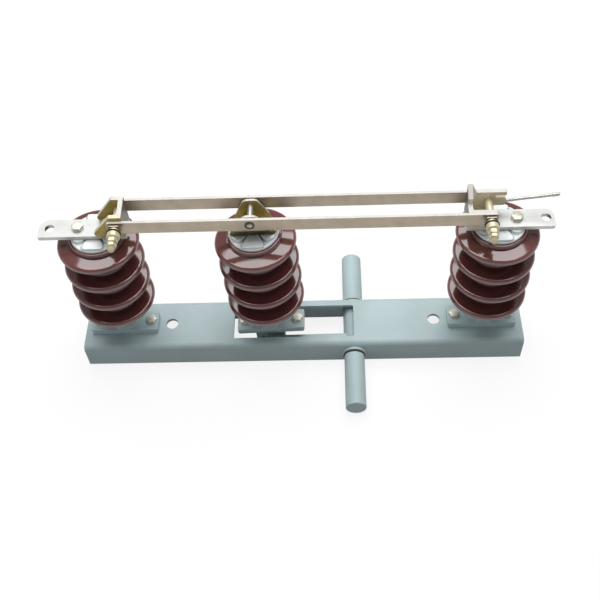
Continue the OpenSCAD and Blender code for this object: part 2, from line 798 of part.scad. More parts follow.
base_channel();
shaft_bushes();
left_foot();
left_insulator();
left_cap();
left_foot_bolts();
right_foot();
right_insulator();
right_cap();
right_foot_bolts();
hinge_terminal();
hinge_terminal_bolts();
hinge_bracket();
contact_terminal();
contact_terminal_bolts();
contact_bracket();
arcing_horn();
hinge_bolt();
hinge_pressure_plate();
hinge_spring_cup();
hinge_nut();
contact_bolt();
contact_pressure_plate();
contact_spring_cup();
contact_nut();
operating_shaft();
shaft_rings();
crank_arm();
crank_pin();
middle_foot();
middle_insulator();
middle_cap();
middle_foot_bolts();
drive_lug();
drive_bracket();
drive_bracket_bolts();
front_blade();
back_blade();
drive_pin();
drive_pin_washers();
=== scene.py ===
"""Looks of a single-pole outdoor disconnect switch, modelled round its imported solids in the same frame."""
import json
import math

import bmesh
import bpy
from mathutils import Matrix, Vector


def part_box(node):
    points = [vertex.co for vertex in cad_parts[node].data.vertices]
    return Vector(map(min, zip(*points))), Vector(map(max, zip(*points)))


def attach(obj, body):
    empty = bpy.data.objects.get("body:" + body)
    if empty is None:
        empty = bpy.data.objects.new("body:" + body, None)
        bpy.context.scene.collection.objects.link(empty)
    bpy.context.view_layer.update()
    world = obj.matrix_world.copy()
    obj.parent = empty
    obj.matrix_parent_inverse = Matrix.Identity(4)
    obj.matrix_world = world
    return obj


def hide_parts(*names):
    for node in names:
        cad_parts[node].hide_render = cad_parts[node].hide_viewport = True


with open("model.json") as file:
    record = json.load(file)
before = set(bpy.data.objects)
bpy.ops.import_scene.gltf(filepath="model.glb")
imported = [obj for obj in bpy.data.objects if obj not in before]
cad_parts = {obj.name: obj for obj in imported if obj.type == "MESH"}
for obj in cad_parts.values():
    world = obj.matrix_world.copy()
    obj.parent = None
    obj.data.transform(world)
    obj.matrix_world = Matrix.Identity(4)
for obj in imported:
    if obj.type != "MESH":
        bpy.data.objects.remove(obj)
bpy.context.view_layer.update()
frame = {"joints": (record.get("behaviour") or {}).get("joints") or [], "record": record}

# Pieces are modelled in millimetres, and dress() brings each finished one to the frame's metres
MM = 0.001


def box(node):
    """A solid's lowest and highest corners, in millimetres."""
    low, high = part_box(node)
    return low / MM, high / MM


def centre(node):
    """The middle of a solid's box, in millimetres."""
    low, high = box(node)
    return (low + high) / 2


def at(x, y, z):
    """A move to a place."""
    return Matrix.Translation((x, y, z))


# Places that the frame gives
mount = {m["name"]: m for m in frame["record"]["mounts"]}
joint = {j["name"]: Vector(j["pos_m"]) / MM for j in frame["joints"]}
pivot, drive, shaft = joint["blade_swing"], joint["post_tilt"], joint["shaft_turn"]
crank, contact = centre("crank_pin"), centre("contact_pressure_plate")
channel_low, channel_high = box("base_channel")
post_top = box("left_cap")[1].z
terminal_top = box("hinge_terminal")[1].z
left_x, right_x = centre("left_insulator").x, centre("right_insulator").x

# The middle post leans along the line from the crank pin to the drive pin
DRIVE_PLATE = 3.6
link = Vector((drive.x - crank.x, 0, drive.z - crank.z))
drive_base = link.length - (drive.z - post_top) - DRIVE_PLATE
link_foot = drive_base - (post_top - channel_high.z)
at_link = at(crank.x, 0, crank.z) @ Matrix.Rotation(math.atan2(link.x, link.z), 4, "Y")
posts = {"left": (at(left_x, 0, channel_high.z), "base"),
         "middle": (at_link @ at(0, 0, link_foot), "middle_post"),
         "right": (at(right_x, 0, channel_high.z), "base")}

# Turns that lay a piece's own +Z along another axis
upright = Matrix.Identity(4)
to_front = Matrix.Rotation(math.radians(90), 4, "X")
to_back = Matrix.Rotation(math.radians(-90), 4, "X")
# The axes, by their place in a vector
X, Y, Z = 0, 1, 2
# A drill is longer than any hole is deep, and has this many sides
THROUGH, HOLE_SIDES = 200, 48
# A face looks along an axis, or leans to it, where that part of its normal is past these shares
FACING, LEANING = 0.9, 0.5
# An edge lies along an axis where that part of its direction is past this share
ALONG = 0.99
# What lies within these distances of a line or a plane belongs to it
NEAR, CLOSE = 1.0, 0.1
# Vertices nearer than these are one: along a spun seam, and after cuts
SEAM, WELD = 0.001, 0.002
# Faces that meet at less than the first angle are flat, and at more than the second have a sharp edge
FLAT, SHARP = math.radians(0.5), math.radians(40)
# How far the edges are rolled over on painted steel, on thick bars and brackets, and on thin ones
PAINT_ROLL, PLATE_ROLL, THIN_ROLL = 0.6, 0.5, 0.4


# Modelling helpers
def start():
    """Object mode with nothing selected, so that the next operator acts on one piece alone."""
    if bpy.context.mode != "OBJECT":
        bpy.ops.object.mode_set(mode="OBJECT")
    bpy.ops.object.select_all(action="DESELECT")


def hold(piece):
    """Makes a piece the only selected one, and the active one."""
    start()
    bpy.context.view_layer.objects.active = piece
    piece.select_set(True)


def everywhere(part):
    """The test that every part of a piece passes."""
    return True


def pick(piece, kind, test):
    """Edit mode on a piece, with only those vertices, edges or faces selected that pass the test."""
    hold(piece)
    bpy.ops.object.mode_set(mode="EDIT")
    bpy.ops.mesh.select_mode(type=kind)
    bpy.ops.mesh.select_all(action="DESELECT")
    mesh = bmesh.from_edit_mesh(piece.data)
    for part in {"VERT": mesh.verts, "EDGE": mesh.edges, "FACE": mesh.faces}[kind]:
        if test(part):
            part.select_set(True)
    bmesh.update_edit_mesh(piece.data)


def middle(edge):
    """The point halfway along an edge."""
    return (edge.verts[0].co + edge.verts[1].co) / 2


def runs(edge, axis):
    """True where an edge lies along X, Y or Z."""
    return abs((edge.verts[1].co - edge.verts[0].co).normalized()[axis]) > ALONG


def coat(piece, *finishes):
    """Gives a piece its materials: the first all over, the others where bare() puts them."""
    piece.data.materials.clear()
    for finish in finishes:
        piece.data.materials.append(finish)
    return piece


def bare(piece, finish, test):
    """Puts one of a piece's later finishes on the faces whose normal and middle pass the test."""
    index = piece.data.materials.find(finish.name)
    for face in piece.data.polygons:
        if test(face.normal, face.center):
            face.material_index = index


def fresh(name):
    """The primitive that was just added, named, with its place and size put in its mesh."""
    piece = bpy.context.object
    piece.name = name
    bpy.ops.object.transform_apply(location=True, rotation=True, scale=True)
    return piece


def block(name, low, high):
    """A box between two corners: sawn bar or plate, before it is shaped."""
    start()
    low, high = Vector(low), Vector(high)
    bpy.ops.mesh.primitive_cube_add(size=1, location=(low + high) / 2, scale=high - low)
    return fresh(name)


def turned(name, profile, place=upright, steps=64):
    """A piece turned on a lathe: a vertex drawn out along (radius, height) points and spun round Z."""
    start()
    radius, height = profile[0]
    bpy.ops.mesh.primitive_plane_add(size=1, location=(radius, 0, height))
    piece = fresh(name)
    bpy.ops.object.mode_set(mode="EDIT")
    bpy.ops.mesh.select_mode(type="VERT")
    bpy.ops.mesh.select_all(action="SELECT")
    bpy.ops.mesh.merge(type="CENTER")
    for (r0, z0), (r1, z1) in zip(profile, profile[1:]):
        bpy.ops.mesh.extrude_region_move(TRANSFORM_OT_translate={"value": (r1 - r0, 0, z1 - z0)})
    bpy.ops.mesh.select_all(action="SELECT")
    bpy.ops.mesh.spin(steps=steps, angle=math.tau, center=(0, 0, 0), axis=(0, 0, 1), use_auto_merge=True)
    bpy.ops.mesh.select_all(action="SELECT")
    bpy.ops.mesh.remove_doubles(threshold=SEAM)
    bpy.ops.mesh.normals_make_consistent(inside=False)
    start()
    piece.data.transform(place)
    return piece


def round_edges(piece, axis, near, radius, segments=8):
    """Rounds those edges along an axis whose middle passes near()."""
    pick(piece, "EDGE", lambda e: runs(e, axis) and near(middle(e)))
    bpy.ops.mesh.bevel(offset=radius, offset_type="OFFSET", segments=segments, affect="EDGES")
    start()


def open_faces(piece, test):
    """Deletes the faces that pass the test, so that the rest of the box is a folded sheet."""
    pick(piece, "FACE", test)
    bpy.ops.mesh.delete(type="FACE")
    start()


def score(piece, point, normal, test=everywhere):
    """Cuts those faces that pass the test along a plane."""
    pick(piece, "FACE", test)
    bpy.ops.mesh.bisect(plane_co=point, plane_no=Vector(normal).normalized())
    start()


def trim(piece, point, normal, test=everywhere):
    """Cuts faces along a plane and drops what lies on the side that the normal points to."""
    score(piece, point, normal, test)
    point, normal = Vector(point), Vector(normal)
    open_faces(piece, lambda face: test(face) and (face.calc_center_median() - point).dot(normal) > 0)


def round_corners(piece, near, radius, segments=6):
    """Rounds those corners of a sheet's outline whose place passes near()."""
    pick(piece, "VERT", lambda v: near(v.co))
    bpy.ops.mesh.bevel(offset=radius, offset_type="OFFSET", segments=segments, affect="VERTICES")
    start()


def modify(piece, kind, **settings):
    """Adds a modifier with its settings and applies it."""
    hold(piece)
    bpy.ops.object.modifier_add(type=kind)
    added = piece.modifiers[-1]
    for key, value in settings.items():
        setattr(added, key, value)
    bpy.ops.object.modifier_apply(modifier=added.name)


def thicken(piece, thickness):
    """Gives a sheet its thickness inwards."""
    modify(piece, "SOLIDIFY", thickness=thickness, offset=-1.0, use_even_offset=True)
    pick(piece, "FACE", everywhere)
    bpy.ops.mesh.normals_make_consistent(inside=False)
    start()


def carve(piece, tool, operation="DIFFERENCE"):
    """Cuts the tool's shape from a piece, or joins or keeps it, and removes the tool."""
    modify(piece, "BOOLEAN", operation=operation, solver="EXACT", object=tool)
    bpy.data.objects.remove(tool)


def drill(piece, place, radius, depth=THROUGH, turn=upright):
    """A round hole through a piece, centred at a point."""
    start()
    bpy.ops.mesh.primitive_cylinder_add(vertices=HOLE_SIDES, radius=radius, depth=depth)
    bit = bpy.context.object
    bit.data.transform(Matrix.Translation(place) @ turn)
    carve(piece, bit)


def soften(piece, roll, segments=2):
    """Rolls the sharp edges over a little, as plating, paint and handling leave them."""
    pick(piece, "FACE", everywhere)
    bpy.ops.mesh.remove_doubles(threshold=WELD)
    bpy.ops.mesh.dissolve_limited(angle_limit=FLAT)
    bpy.ops.mesh.normals_make_consistent(inside=False)
    start()
    modify(piece, "BEVEL", width=roll, segments=segments, limit_method="ANGLE",
           angle_limit=SHARP, use_clamp_overlap=True)


def cast(piece, grain, passes):
    """Melts joined shapes into one casting with filleted corners."""
    modify(piece, "REMESH", mode="VOXEL", voxel_size=grain)
    modify(piece, "SMOOTH", factor=0.5, iterations=passes)


def copy_of(piece, name, place):
    """A copy with its own mesh, moved to another place."""
    made = bpy.data.objects.new(name, piece.data.copy())
    bpy.context.scene.collection.objects.link(made)
    made.data.transform(place)
    return made


def joined(name, parts):
    """Several shapes as one piece."""
    hold(parts[0])
    for part in parts:
        part.select_set(True)
    bpy.ops.object.join()
    parts[0].name = name
    return parts[0]


def arc(mid, radius, first, last, steps=8):
    """Points of an arc for a turned profile, by its angles in degrees."""
    turns = [math.radians(first + (last - first) * i / steps) for i in range(steps + 1)]
    return [(mid[0] + radius * math.cos(a), mid[1] + radius * math.sin(a)) for a in turns]


def both_ways(half):
    """A turned profile from its upper half, with the same again below z = 0."""
    return [(r, -z) for r, z in reversed(half)] + half


def dress(piece, body, nodes, smooth=30):
    """Brings a coated piece to metres, shades it, hangs it under its body, and hides the solids it replaces.
    """
    piece.data.transform(Matrix.Scale(MM, 4))
    hold(piece)
    bpy.ops.object.shade_smooth_by_angle(angle=math.radians(smooth))
    modify(piece, "WEIGHTED_NORMAL", keep_sharp=True, weight=80)
    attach(piece, body)
    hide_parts(*nodes)
    return piece


# Materials
def linear(code):
    """An sRGB hex colour as linear red, green, blue and alpha."""
    parts = [int(code[i:i + 2], 16) / 255 for i in (1, 3, 5)]
    return [p / 12.92 if p <= 0.04045 else ((p + 0.055) / 1.055) ** 2.4 for p in parts] + [1.0]


def add(tree, kind, inputs=None, stops=None, **settings):
    """Adds a node with its settings, its colour stops and its inputs, each a value or a socket to link."""
    made = tree.nodes.new("ShaderNode" + kind)
    for key, value in settings.items():
        setattr(made, key, value)
    for key, value in (inputs or {}).items():
        if isinstance(value, bpy.types.NodeSocket):
            tree.links.new(value, made.inputs[key])
        else:
            made.inputs[key].default_value = value
    if stops:
        ramp = made.color_ramp.elements
        while len(ramp) < len(stops):
            ramp.new(1.0)
        for element, (place, code) in zip(ramp, stops):
            element.position = place
            element.color = linear(code)
    return made


def every(size):
    """Noise scale for a pattern of that size in millimetres."""
    return 1 / (size * MM)


def blank(name):
    """A material with an empty tree."""
    material = bpy.data.materials.new(name)
    material.use_nodes = True
    material.node_tree.nodes.clear()
    return material, material.node_tree


def enamel(name, dark, light):
    # Satin enamel sprayed on steel: an even grey green with faint clouds and fine spray dimples
    material, tree = blank(name)
    place = add(tree, "TexCoord").outputs["Object"]
    clouds = add(tree, "TexNoise", {"Vector": place, "Scale": every(60), "Detail": 4.0})
    colour = add(tree, "ValToRGB", {"Fac": clouds.outputs["Fac"]}, [(0.3, dark), (0.7, light)])
    shine = add(tree, "MapRange", {"Value": clouds.outputs["Fac"], "To Min": 0.36, "To Max": 0.48})
    # Spray dimples are about 0.5 mm, drawn at 2.5 mm so that they show
    dimples = add(tree, "TexNoise", {"Vector": place, "Scale": every(2.5), "Detail": 2.0})
    bump = add(tree, "Bump", {"Height": dimples.outputs["Fac"], "Strength": 0.12, "Distance": 0.2 * MM})
    shader = add(tree, "BsdfPrincipled", {
        "Base Color": colour.outputs["Color"], "Roughness": shine.outputs["Result"],
        "Specular IOR Level": 0.35, "Normal": bump.outputs["Normal"]})
    add(tree, "OutputMaterial", {"Surface": shader.outputs["BSDF"]})
    return material


def glazed_porcelain():
    # Brown glaze fired on porcelain: dark red brown with a hard wet shine, lighter where it thins on rims
    material, tree = blank("brown_glazed_porcelain")
    place = add(tree, "TexCoord").outputs["Object"]
    flow = add(tree, "TexNoise", {"Vector": place, "Scale": every(22), "Detail": 5.0})
    rim = add(tree, "NewGeometry")
    thin = add(tree, "MapRange", {
        "Value": rim.outputs["Pointiness"], "From Min": 0.5, "From Max": 0.56, "To Max": 0.75})
    depth = add(tree, "Math", {0: flow.outputs["Fac"], 1: 0.4, 2: thin.outputs["Result"]},
                operation="MULTIPLY_ADD")
    colour = add(tree, "ValToRGB", {"Fac": depth.outputs["Value"]},
                 [(0.1, "#482927"), (0.45, "#663632"), (1.0, "#904e47")])
    # Slow waves in the glaze, about 14 mm long, that bend the reflections a little
    waves = add(tree, "TexNoise", {"Vector": place, "Scale": every(14), "Detail": 1.0})
    bump = add(tree, "Bump", {"Height": waves.outputs["Fac"], "Strength": 0.25, "Distance": 0.3 * MM})
    shader = add(tree, "BsdfPrincipled", {
        "Base Color": colour.outputs["Color"], "Roughness": 0.1, "IOR": 1.8,
        "Normal": bump.outputs["Normal"]})
    add(tree, "OutputMaterial", {"Surface": shader.outputs["BSDF"]})
    return material


def rolled_metal(name, stops, rough, grain, metal=1.0):
    # Copper bar, rolled and plated: fine streaks along X, and soft clouds where the plating is thicker
    material, tree = blank(name)
    place = add(tree, "TexCoord").outputs["Object"]
    along = add(tree, "Mapping", {"Vector": place, "Scale": grain})
    streaks = add(tree, "TexNoise", {"Vector": along.outputs["Vector"], "Scale": 1.0, "Detail": 3.0})
    clouds = add(tree, "TexNoise", {"Vector": place, "Scale": every(18), "Detail": 3.0})
    fine = add(tree, "Math", {0: streaks.outputs["Fac"], 1: 0.45}, operation="MULTIPLY")
    both = add(tree, "Math", {0: clouds.outputs["Fac"], 1: 0.55, 2: fine.outputs["Value"]},
               operation="MULTIPLY_ADD")
    colour = add(tree, "ValToRGB", {"Fac": both.outputs["Value"]}, stops)
    shine = add(tree, "MapRange", {"Value": streaks.outputs["Fac"], "To Min": rough[0], "To Max": rough[1]})
    bump = add(tree, "Bump", {"Height": streaks.outputs["Fac"], "Strength": 0.1, "Distance": 0.1 * MM})
    shader = add(tree, "BsdfPrincipled", {
        "Base Color": colour.outputs["Color"], "Metallic": metal, "Roughness": shine.outputs["Result"],
        "Normal": bump.outputs["Normal"]})
    add(tree, "OutputMaterial", {"Surface": shader.outputs["BSDF"]})
    return material


def chromated_zinc(name, stops, rough, metal=0.7):
    # Passivated zinc plate, or oiled steel: a thin film whose hue drifts in patches over a dull metal shine
    material, tree = blank(name)
    place = add(tree, "TexCoord").outputs["Object"]
    film = add(tree, "TexNoise", {"Vector": place, "Scale": every(9), "Detail": 4.0, "Distortion": 0.6})
    colour = add(tree, "ValToRGB", {"Fac": film.outputs["Fac"]}, stops)
    shine = add(tree, "MapRange", {"Value": film.outputs["Fac"], "To Min": rough[0], "To Max": rough[1]})
    # The crystals of the plating are far below 0.1 mm, drawn at 0.8 mm so that they show
    grain = add(tree, "TexNoise", {"Vector": place, "Scale": every(0.8), "Detail": 2.0})
    bump = add(tree, "Bump", {"Height": grain.outputs["Fac"], "Strength": 0.08, "Distance": 0.1 * MM})
    shader = add(tree, "BsdfPrincipled", {
        "Base Color": colour.outputs["Color"], "Metallic": metal, "Roughness": shine.outputs["Result"],
        "Normal": bump.outputs["Normal"]})
    add(tree, "OutputMaterial", {"Surface": shader.outputs["BSDF"]})
    return material


def painted_casting():
    # Cast iron under aluminium paint: a dull pale grey sheen, with painted shade in dark green in the
    # hollows
    material, tree = blank("aluminium_painted_casting")
    place = add(tree, "TexCoord").outputs["Object"]
    stain = add(tree, "TexNoise", {"Vector": place, "Scale": every(12), "Detail": 4.0})
    rise = add(tree, "NewGeometry").outputs["Pointiness"]
    # Painted shade: the deeper a hollow, the darker green its colour
    crease_shade = add(tree, "MapRange", {"Value": rise, "From Min": 0.44, "From Max": 0.5, "To Max": 0.6})
    shade_and_stain = add(tree, "Math", {0: stain.outputs["Fac"], 1: 0.4, 2: crease_shade.outputs["Result"]},
                operation="MULTIPLY_ADD")
    colour = add(tree, "ValToRGB", {"Fac": shade_and_stain.outputs["Value"]},
                 [(0.32, "#506660"), (0.62, "#b2bcbb"), (0.85, "#d8dcdc")])
    # Sand-cast grain about 1.5 mm across
    sand = add(tree, "TexNoise", {"Vector": place, "Scale": every(1.5), "Detail": 3.0})
    bump = add(tree, "Bump", {"Height": sand.outputs["Fac"], "Strength": 0.3, "Distance": 0.3 * MM})
    shader = add(tree, "BsdfPrincipled", {
        "Base Color": colour.outputs["Color"], "Metallic": 0.15, "Roughness": 0.46,
        "Normal": bump.outputs["Normal"]})
    add(tree, "OutputMaterial", {"Surface": shader.outputs["BSDF"]})
    return material


# Rolling marks are about 90 mm long and far finer than 0.9 mm, drawn that wide so that they show
along_bar = (every(90), every(0.9), every(0.9))
paint = enamel("grey_green_enamel", "#a0b2b4", "#acbec1")
porcelain = glazed_porcelain()
casting = painted_casting()
tin = rolled_metal("tinned_copper", [(0.3, "#b5b6b3"), (0.7, "#c6c7c4")], (0.48, 0.58), along_bar)
copper = rolled_metal("champagne_plated_copper",
                      [(0.3, "#9d9282"), (0.7, "#b5a998")], (0.34, 0.44), along_bar)
# Painted highlight: a paler metal with little shine of its own, put on the upward faces of blades and
# brackets
painted_highlight = rolled_metal("painted_highlight_edge",
                           [(0.3, "#b3b0aa"), (0.7, "#c4c1bb")], (0.42, 0.52), along_bar, metal=0.3)
gold = chromated_zinc("yellow_chromated_zinc",
                      [(0.25, "#988a5c"), (0.5, "#b5a360"), (0.75, "#c2ad74")], (0.36, 0.46), metal=0.5)
straw = chromated_zinc("straw_chromated_zinc",
                       [(0.25, "#b3a98e"), (0.5, "#c6bba0"), (0.75, "#d2c7ae")], (0.4, 0.5), metal=0.35)
# Painted light: a straw finish made very pale, standing in for strong light on the contact bracket
painted_lit_straw = chromated_zinc("straw_zinc_painted_lit",
                      [(0.25, "#d0c8b0"), (0.5, "#ddd5bf"), (0.75, "#e6dfcc")], (0.4, 0.5), metal=0.2)
cream = chromated_zinc("cream_chromated_zinc",
                       [(0.25, "#b2a887"), (0.5, "#c9bfa2"), (0.75, "#d8ceb8")], (0.34, 0.44), metal=0.4)
pale_zinc = chromated_zinc("pale_zinc_plate",
                           [(0.25, "#b4b2a4"), (0.5, "#c9c7b9"), (0.75, "#d8d6ca")], (0.36, 0.46))
# Painted shade: a dull grey for the brackets' webs on their shaded side
painted_shade_grey = chromated_zinc("painted_shade_grey_zinc", [(0.3, "#6a6860"), (0.7, "#838077")], (0.42, 0.52))
# Painted shade: a dark olive for the drive bracket's feet and the drive pin's washers, which lie in shadow
painted_shade_olive = chromated_zinc("painted_shade_olive_zinc", [(0.3, "#4d4d39"), (0.7, "#6d664c")], (0.4, 0.5))
steel = chromated_zinc("bright_drawn_steel", [(0.3, "#a3a19b"), (0.7, "#c1beb8")], (0.3, 0.4))
spring_steel = chromated_zinc("oiled_spring_steel", [(0.3, "#2c2820"), (0.7, "#4a4335")], (0.4, 0.5))


# The posts: porcelain, cap and foot
CORE, NECK_CORE, SHED, RIM = 37.0, 32.0, 55.0, 5.0
PITCH, SHEDS, FIRST_SHED = 40.5, 4, 68.5
PORCELAIN_LOW, PORCELAIN_TOP = 42.0, 209.0
FILLET, GROOVE, TOP_ROUND = 4.0, 1.8, 2.5
UNDER_RISE, SLOPE_RISE, NECK_RISE, NECK_FLARE = 1.5, 2.2, 2.4, 1.2


def shed_profile(z, last):
    """One shed from the core below it, round the rim and back to the core, with its fillets."""
    under = arc((NECK_CORE + FILLET, z + UNDER_RISE), FILLET, 180, 50)
    over = arc((SHED - RIM, z + RIM), RIM, -130, 80, steps=14)
    slope_foot = z + 2 * RIM + SLOPE_RISE
    above = [] if last else arc((NECK_CORE + FILLET, slope_foot + FILLET), FILLET, 260, 180)
    return under + over + above


def porcelain_post(side):
    """The glazed post, with four sheds and a ring groove under its top."""
    profile = [(0, PORCELAIN_LOW), (NECK_CORE, PORCELAIN_LOW)]
    for k in range(SHEDS):
        profile += shed_profile(FIRST_SHED + k * PITCH, k == SHEDS - 1)
    neck = FIRST_SHED + (SHEDS - 1) * PITCH + 2 * RIM + NECK_RISE
    profile += [(CORE + NECK_FLARE, neck)] + arc((CORE, neck + GROOVE), GROOVE, 270, 90, steps=6)
    profile += arc((CORE - TOP_ROUND, PORCELAIN_TOP - TOP_ROUND), TOP_ROUND, 0, 90, steps=6)
    profile += [(0, PORCELAIN_TOP)]
    place, body = posts[side]
    piece = coat(turned(side + "_porcelain_post", profile, place, steps=120), porcelain)
    dress(piece, body, [side + "_insulator"], smooth=40)


CAP_DISC, CAP_THICK, CAP_ROUND = 33.5, 4.0, 1.5
BOSS, BOSS_HIGH, BOSS_OFF, BOSS_TAPER, BOSS_STRETCH = 12.5, 4.0, 20.0, 1.0, 1.6
FAN_NARROW, FAN_WIDE, FAN_HIGH, FAN_INSET, FAN_CORNER = 3.0, 17.0, 3.0, 2.5, 8.0
CAP_GRAIN, FOOT_GRAIN = 0.8, 1.2
# Shapes that are melted into one casting overlap by this much
LAP = 1.0


def cap_casting():
    """The cast cap: a disc with two long bosses, and a low fan-shaped rib to the front and the back."""
    top = PORCELAIN_TOP + CAP_THICK
    rounded = arc((CAP_DISC - CAP_ROUND, top - CAP_ROUND), CAP_ROUND, 0, 90, steps=4)
    disc = turned("cap", [(0, PORCELAIN_TOP), (CAP_DISC, PORCELAIN_TOP)] + rounded + [(0, top)])
    boss_top = top + BOSS_HIGH
    for x in (-BOSS_OFF, BOSS_OFF):
        boss = [(0, top - LAP), (BOSS, top - LAP), (BOSS - BOSS_TAPER, boss_top), (0, boss_top)]
        pad = turned("boss", boss, at(x, 0, 0) @ Matrix.Scale(BOSS_STRETCH, 4, (0, 1, 0)))
        carve(disc, pad, "UNION")
    reach = CAP_DISC - FAN_INSET
    for side in (-1, 1):
        low, high = sorted((0.0, side * reach))
        fan = block("fan", (-FAN_NARROW, low, top - LAP), (FAN_NARROW, high, top + FAN_HIGH))
        pick(fan, "FACE", lambda face: face.normal.y * side > FACING)
        bpy.ops.transform.resize(value=(FAN_WIDE / FAN_NARROW, 1, 1))
        round_edges(fan, Z, lambda p: abs(p.y) > reach - NEAR, FAN_CORNER)
        carve(disc, fan, "UNION")
    cast(disc, CAP_GRAIN, passes=4)
    return coat(disc, casting)


FOOT_LONG, FOOT_WIDE, FOOT_PLATE, FOOT_CORNER = 50.0, 17.0, 10.0, 3.0
NECK, NECK_TOP, CUP, CUP_LIP, FOOT_BOLT_OFF = 17.0, 19.0, 33.0, 2.0, 39.5


def foot_casting():
    """The cast foot: a bolted plate, a neck and the flared cup that the porcelain is cemented in."""
    plate = block("foot", (-FOOT_LONG, -FOOT_WIDE, 0), (FOOT_LONG, FOOT_WIDE, FOOT_PLATE))
    round_edges(plate, Z, everywhere, FOOT_CORNER, segments=4)
    low = FOOT_PLATE - LAP
    cup = turned("cup", [(0, low), (NECK, low), (NECK, NECK_TOP), (CUP, PORCELAIN_LOW - CUP_LIP),
                         (CUP, PORCELAIN_LOW), (0, PORCELAIN_LOW)])
    carve(plate, cup, "UNION")
    cast(plate, FOOT_GRAIN, passes=3)
    return coat(plate, paint)


# Fasteners, by their thread's diameter
HEAD_SHARE, NUT_SHARE, CORNERS = 0.7, 0.8, 1.96
HEX_CHAMFER, HEX_SLOPE, WASHER, PLAY = 1.2, 1.5, 1.1, 0.2
POST_BOLT, PIVOT_BOLT, PIVOT_THREAD = 8.0, 10.0, 8.0
BOLT_HOLE, PIVOT_HOLE = POST_BOLT / 2 + PLAY, PIVOT_BOLT / 2 + PLAY
THREAD_PITCH, THREAD_DEPTH, END_CHAMFER = 1.25, 0.6, 0.8
PLAIN_SHARE, SHANK_LAP = 0.4, 0.5


def hexagon(name, bolt, height, both_ends=False):
    """A hexagon head or nut standing on z = 0, with the turned chamfer on its corners."""
    corner = CORNERS * bolt / 2
    start()
    bpy.ops.mesh.primitive_cylinder_add(vertices=6, radius=corner, depth=height,
                                        location=(0, 0, height / 2), rotation=(0, 0, math.pi / 2))
    piece = fresh(name)
    clear, rise, inset = corner + PLAY, HEX_CHAMFER / 2, HEX_SLOPE * HEX_CHAMFER
    low, low_inset = (rise, inset) if both_ends else (0, 0)
    shell = [(0, 0), (corner - low_inset, 0), (clear, low + PLAY / 2), (clear, height - rise),
             (corner - inset, height), (0, height)]
    carve(piece, turned("chamfer", shell), "INTERSECT")
    return piece


def ring(name, inner, outer, low, high, roll=0.4):
    """A flat ring round Z with rolled edges: a washer or a collar."""
    return turned(name, [(inner, low), (outer - roll, low), (outer, low + roll), (outer, high - roll),
                         (outer - roll, high), (inner, high), (inner, low)])


def threaded(first, last, radius):
    """Profile points of a cut thread from one height to another."""
    turns = max(1, int(abs(last - first) / THREAD_PITCH))
    step = (last - first) / turns
    points = []
    for k in range(turns):
        points += [(radius, first + k * step), (radius - THREAD_DEPTH, first + (k + 0.5) * step)]
    return points + [(radius, last)]


def head_bolt(name, shank, nut_drop=None):
    """A hexagon bolt and its washer on z = 0, with the shank below and, under a plate, its nut."""
    radius = POST_BOLT / 2
    head = hexagon(name, POST_BOLT, HEAD_SHARE * POST_BOLT - WASHER)
    head.data.transform(at(0, 0, WASHER))
    profile = [(0, -shank), (radius - END_CHAMFER, -shank)] \
        + threaded(END_CHAMFER - shank, -PLAIN_SHARE * shank, radius) \
        + [(radius, SHANK_LAP), (0, SHANK_LAP)]
    parts = [head, ring("washer", radius, CORNERS * radius, 0, WASHER), turned("shank", profile, steps=32)]
    if nut_drop:
        high = NUT_SHARE * POST_BOLT
        nut = hexagon("nut", POST_BOLT, high, both_ends=True)
        drill(nut, (0, 0, 0), BOLT_HOLE)
        nut.data.transform(at(0, 0, -nut_drop - high))
        parts.append(nut)
    return coat(joined(name, parts), pale_zinc)


def bolt_set(name, pattern, places, body, nodes):
    """Copies of one bolt at several places, as one piece."""
    copies = [copy_of(pattern, name, place) for place in places]
    dress(joined(name, copies), body, nodes)


# The base: channel, bushes, shaft and crank
WALL, BEND = 5.0, 8.0
SLOT_LOW, SLOT_HIGH, SLOT_HALF, SLOT_CORNER = -102.0, 77.0, 28.0, 2.0
SHAFT_R, BORE_R = 15.0, 15.3


def base_channel():
    """The folded plate channel with its slot and holes."""
    piece = coat(block("folded_channel", channel_low, channel_high), paint)
    open_faces(piece, lambda face: face.normal.z < -FACING or abs(face.normal.x) > FACING)
    round_edges(piece, X, lambda p: p.z > channel_high.z - WALL, BEND)
    thicken(piece, WALL)
    web = channel_high.z - WALL / 2
    slot = block("slot", (SLOT_LOW, -SLOT_HALF, web - WALL), (SLOT_HIGH, SLOT_HALF, web + WALL))
    round_edges(slot, Z, everywhere, SLOT_CORNER, segments=4)
    carve(piece, slot)
    holes = mount["base_bolts"]["dims"]
    for side in (-1, 1):
        drill(piece, (side * holes["spacing_x_mm"] / 2, 0, web), holes["hole_r_mm"], 4 * WALL)
        for post_x in (left_x, right_x):
            drill(piece, (post_x + side * FOOT_BOLT_OFF, 0, web), BOLT_HOLE, 4 * WALL)
    drill(piece, (shaft.x, 0, shaft.z), BORE_R, turn=to_front)
    soften(piece, PAINT_ROLL)
    dress(piece, "base", ["base_channel"])


BUSH_OUT, BUSH_LONG, BUSH_ROUND, RUN_GAP = 17.7, 4.0, 1.2, 0.3
RING_IN, RING_OUT, RING_WIDE, RING_PLAY, GROOVE_R = 14.2, 16.4, 2.0, 0.2, 14.0
SHAFT_ROUND = 1.4


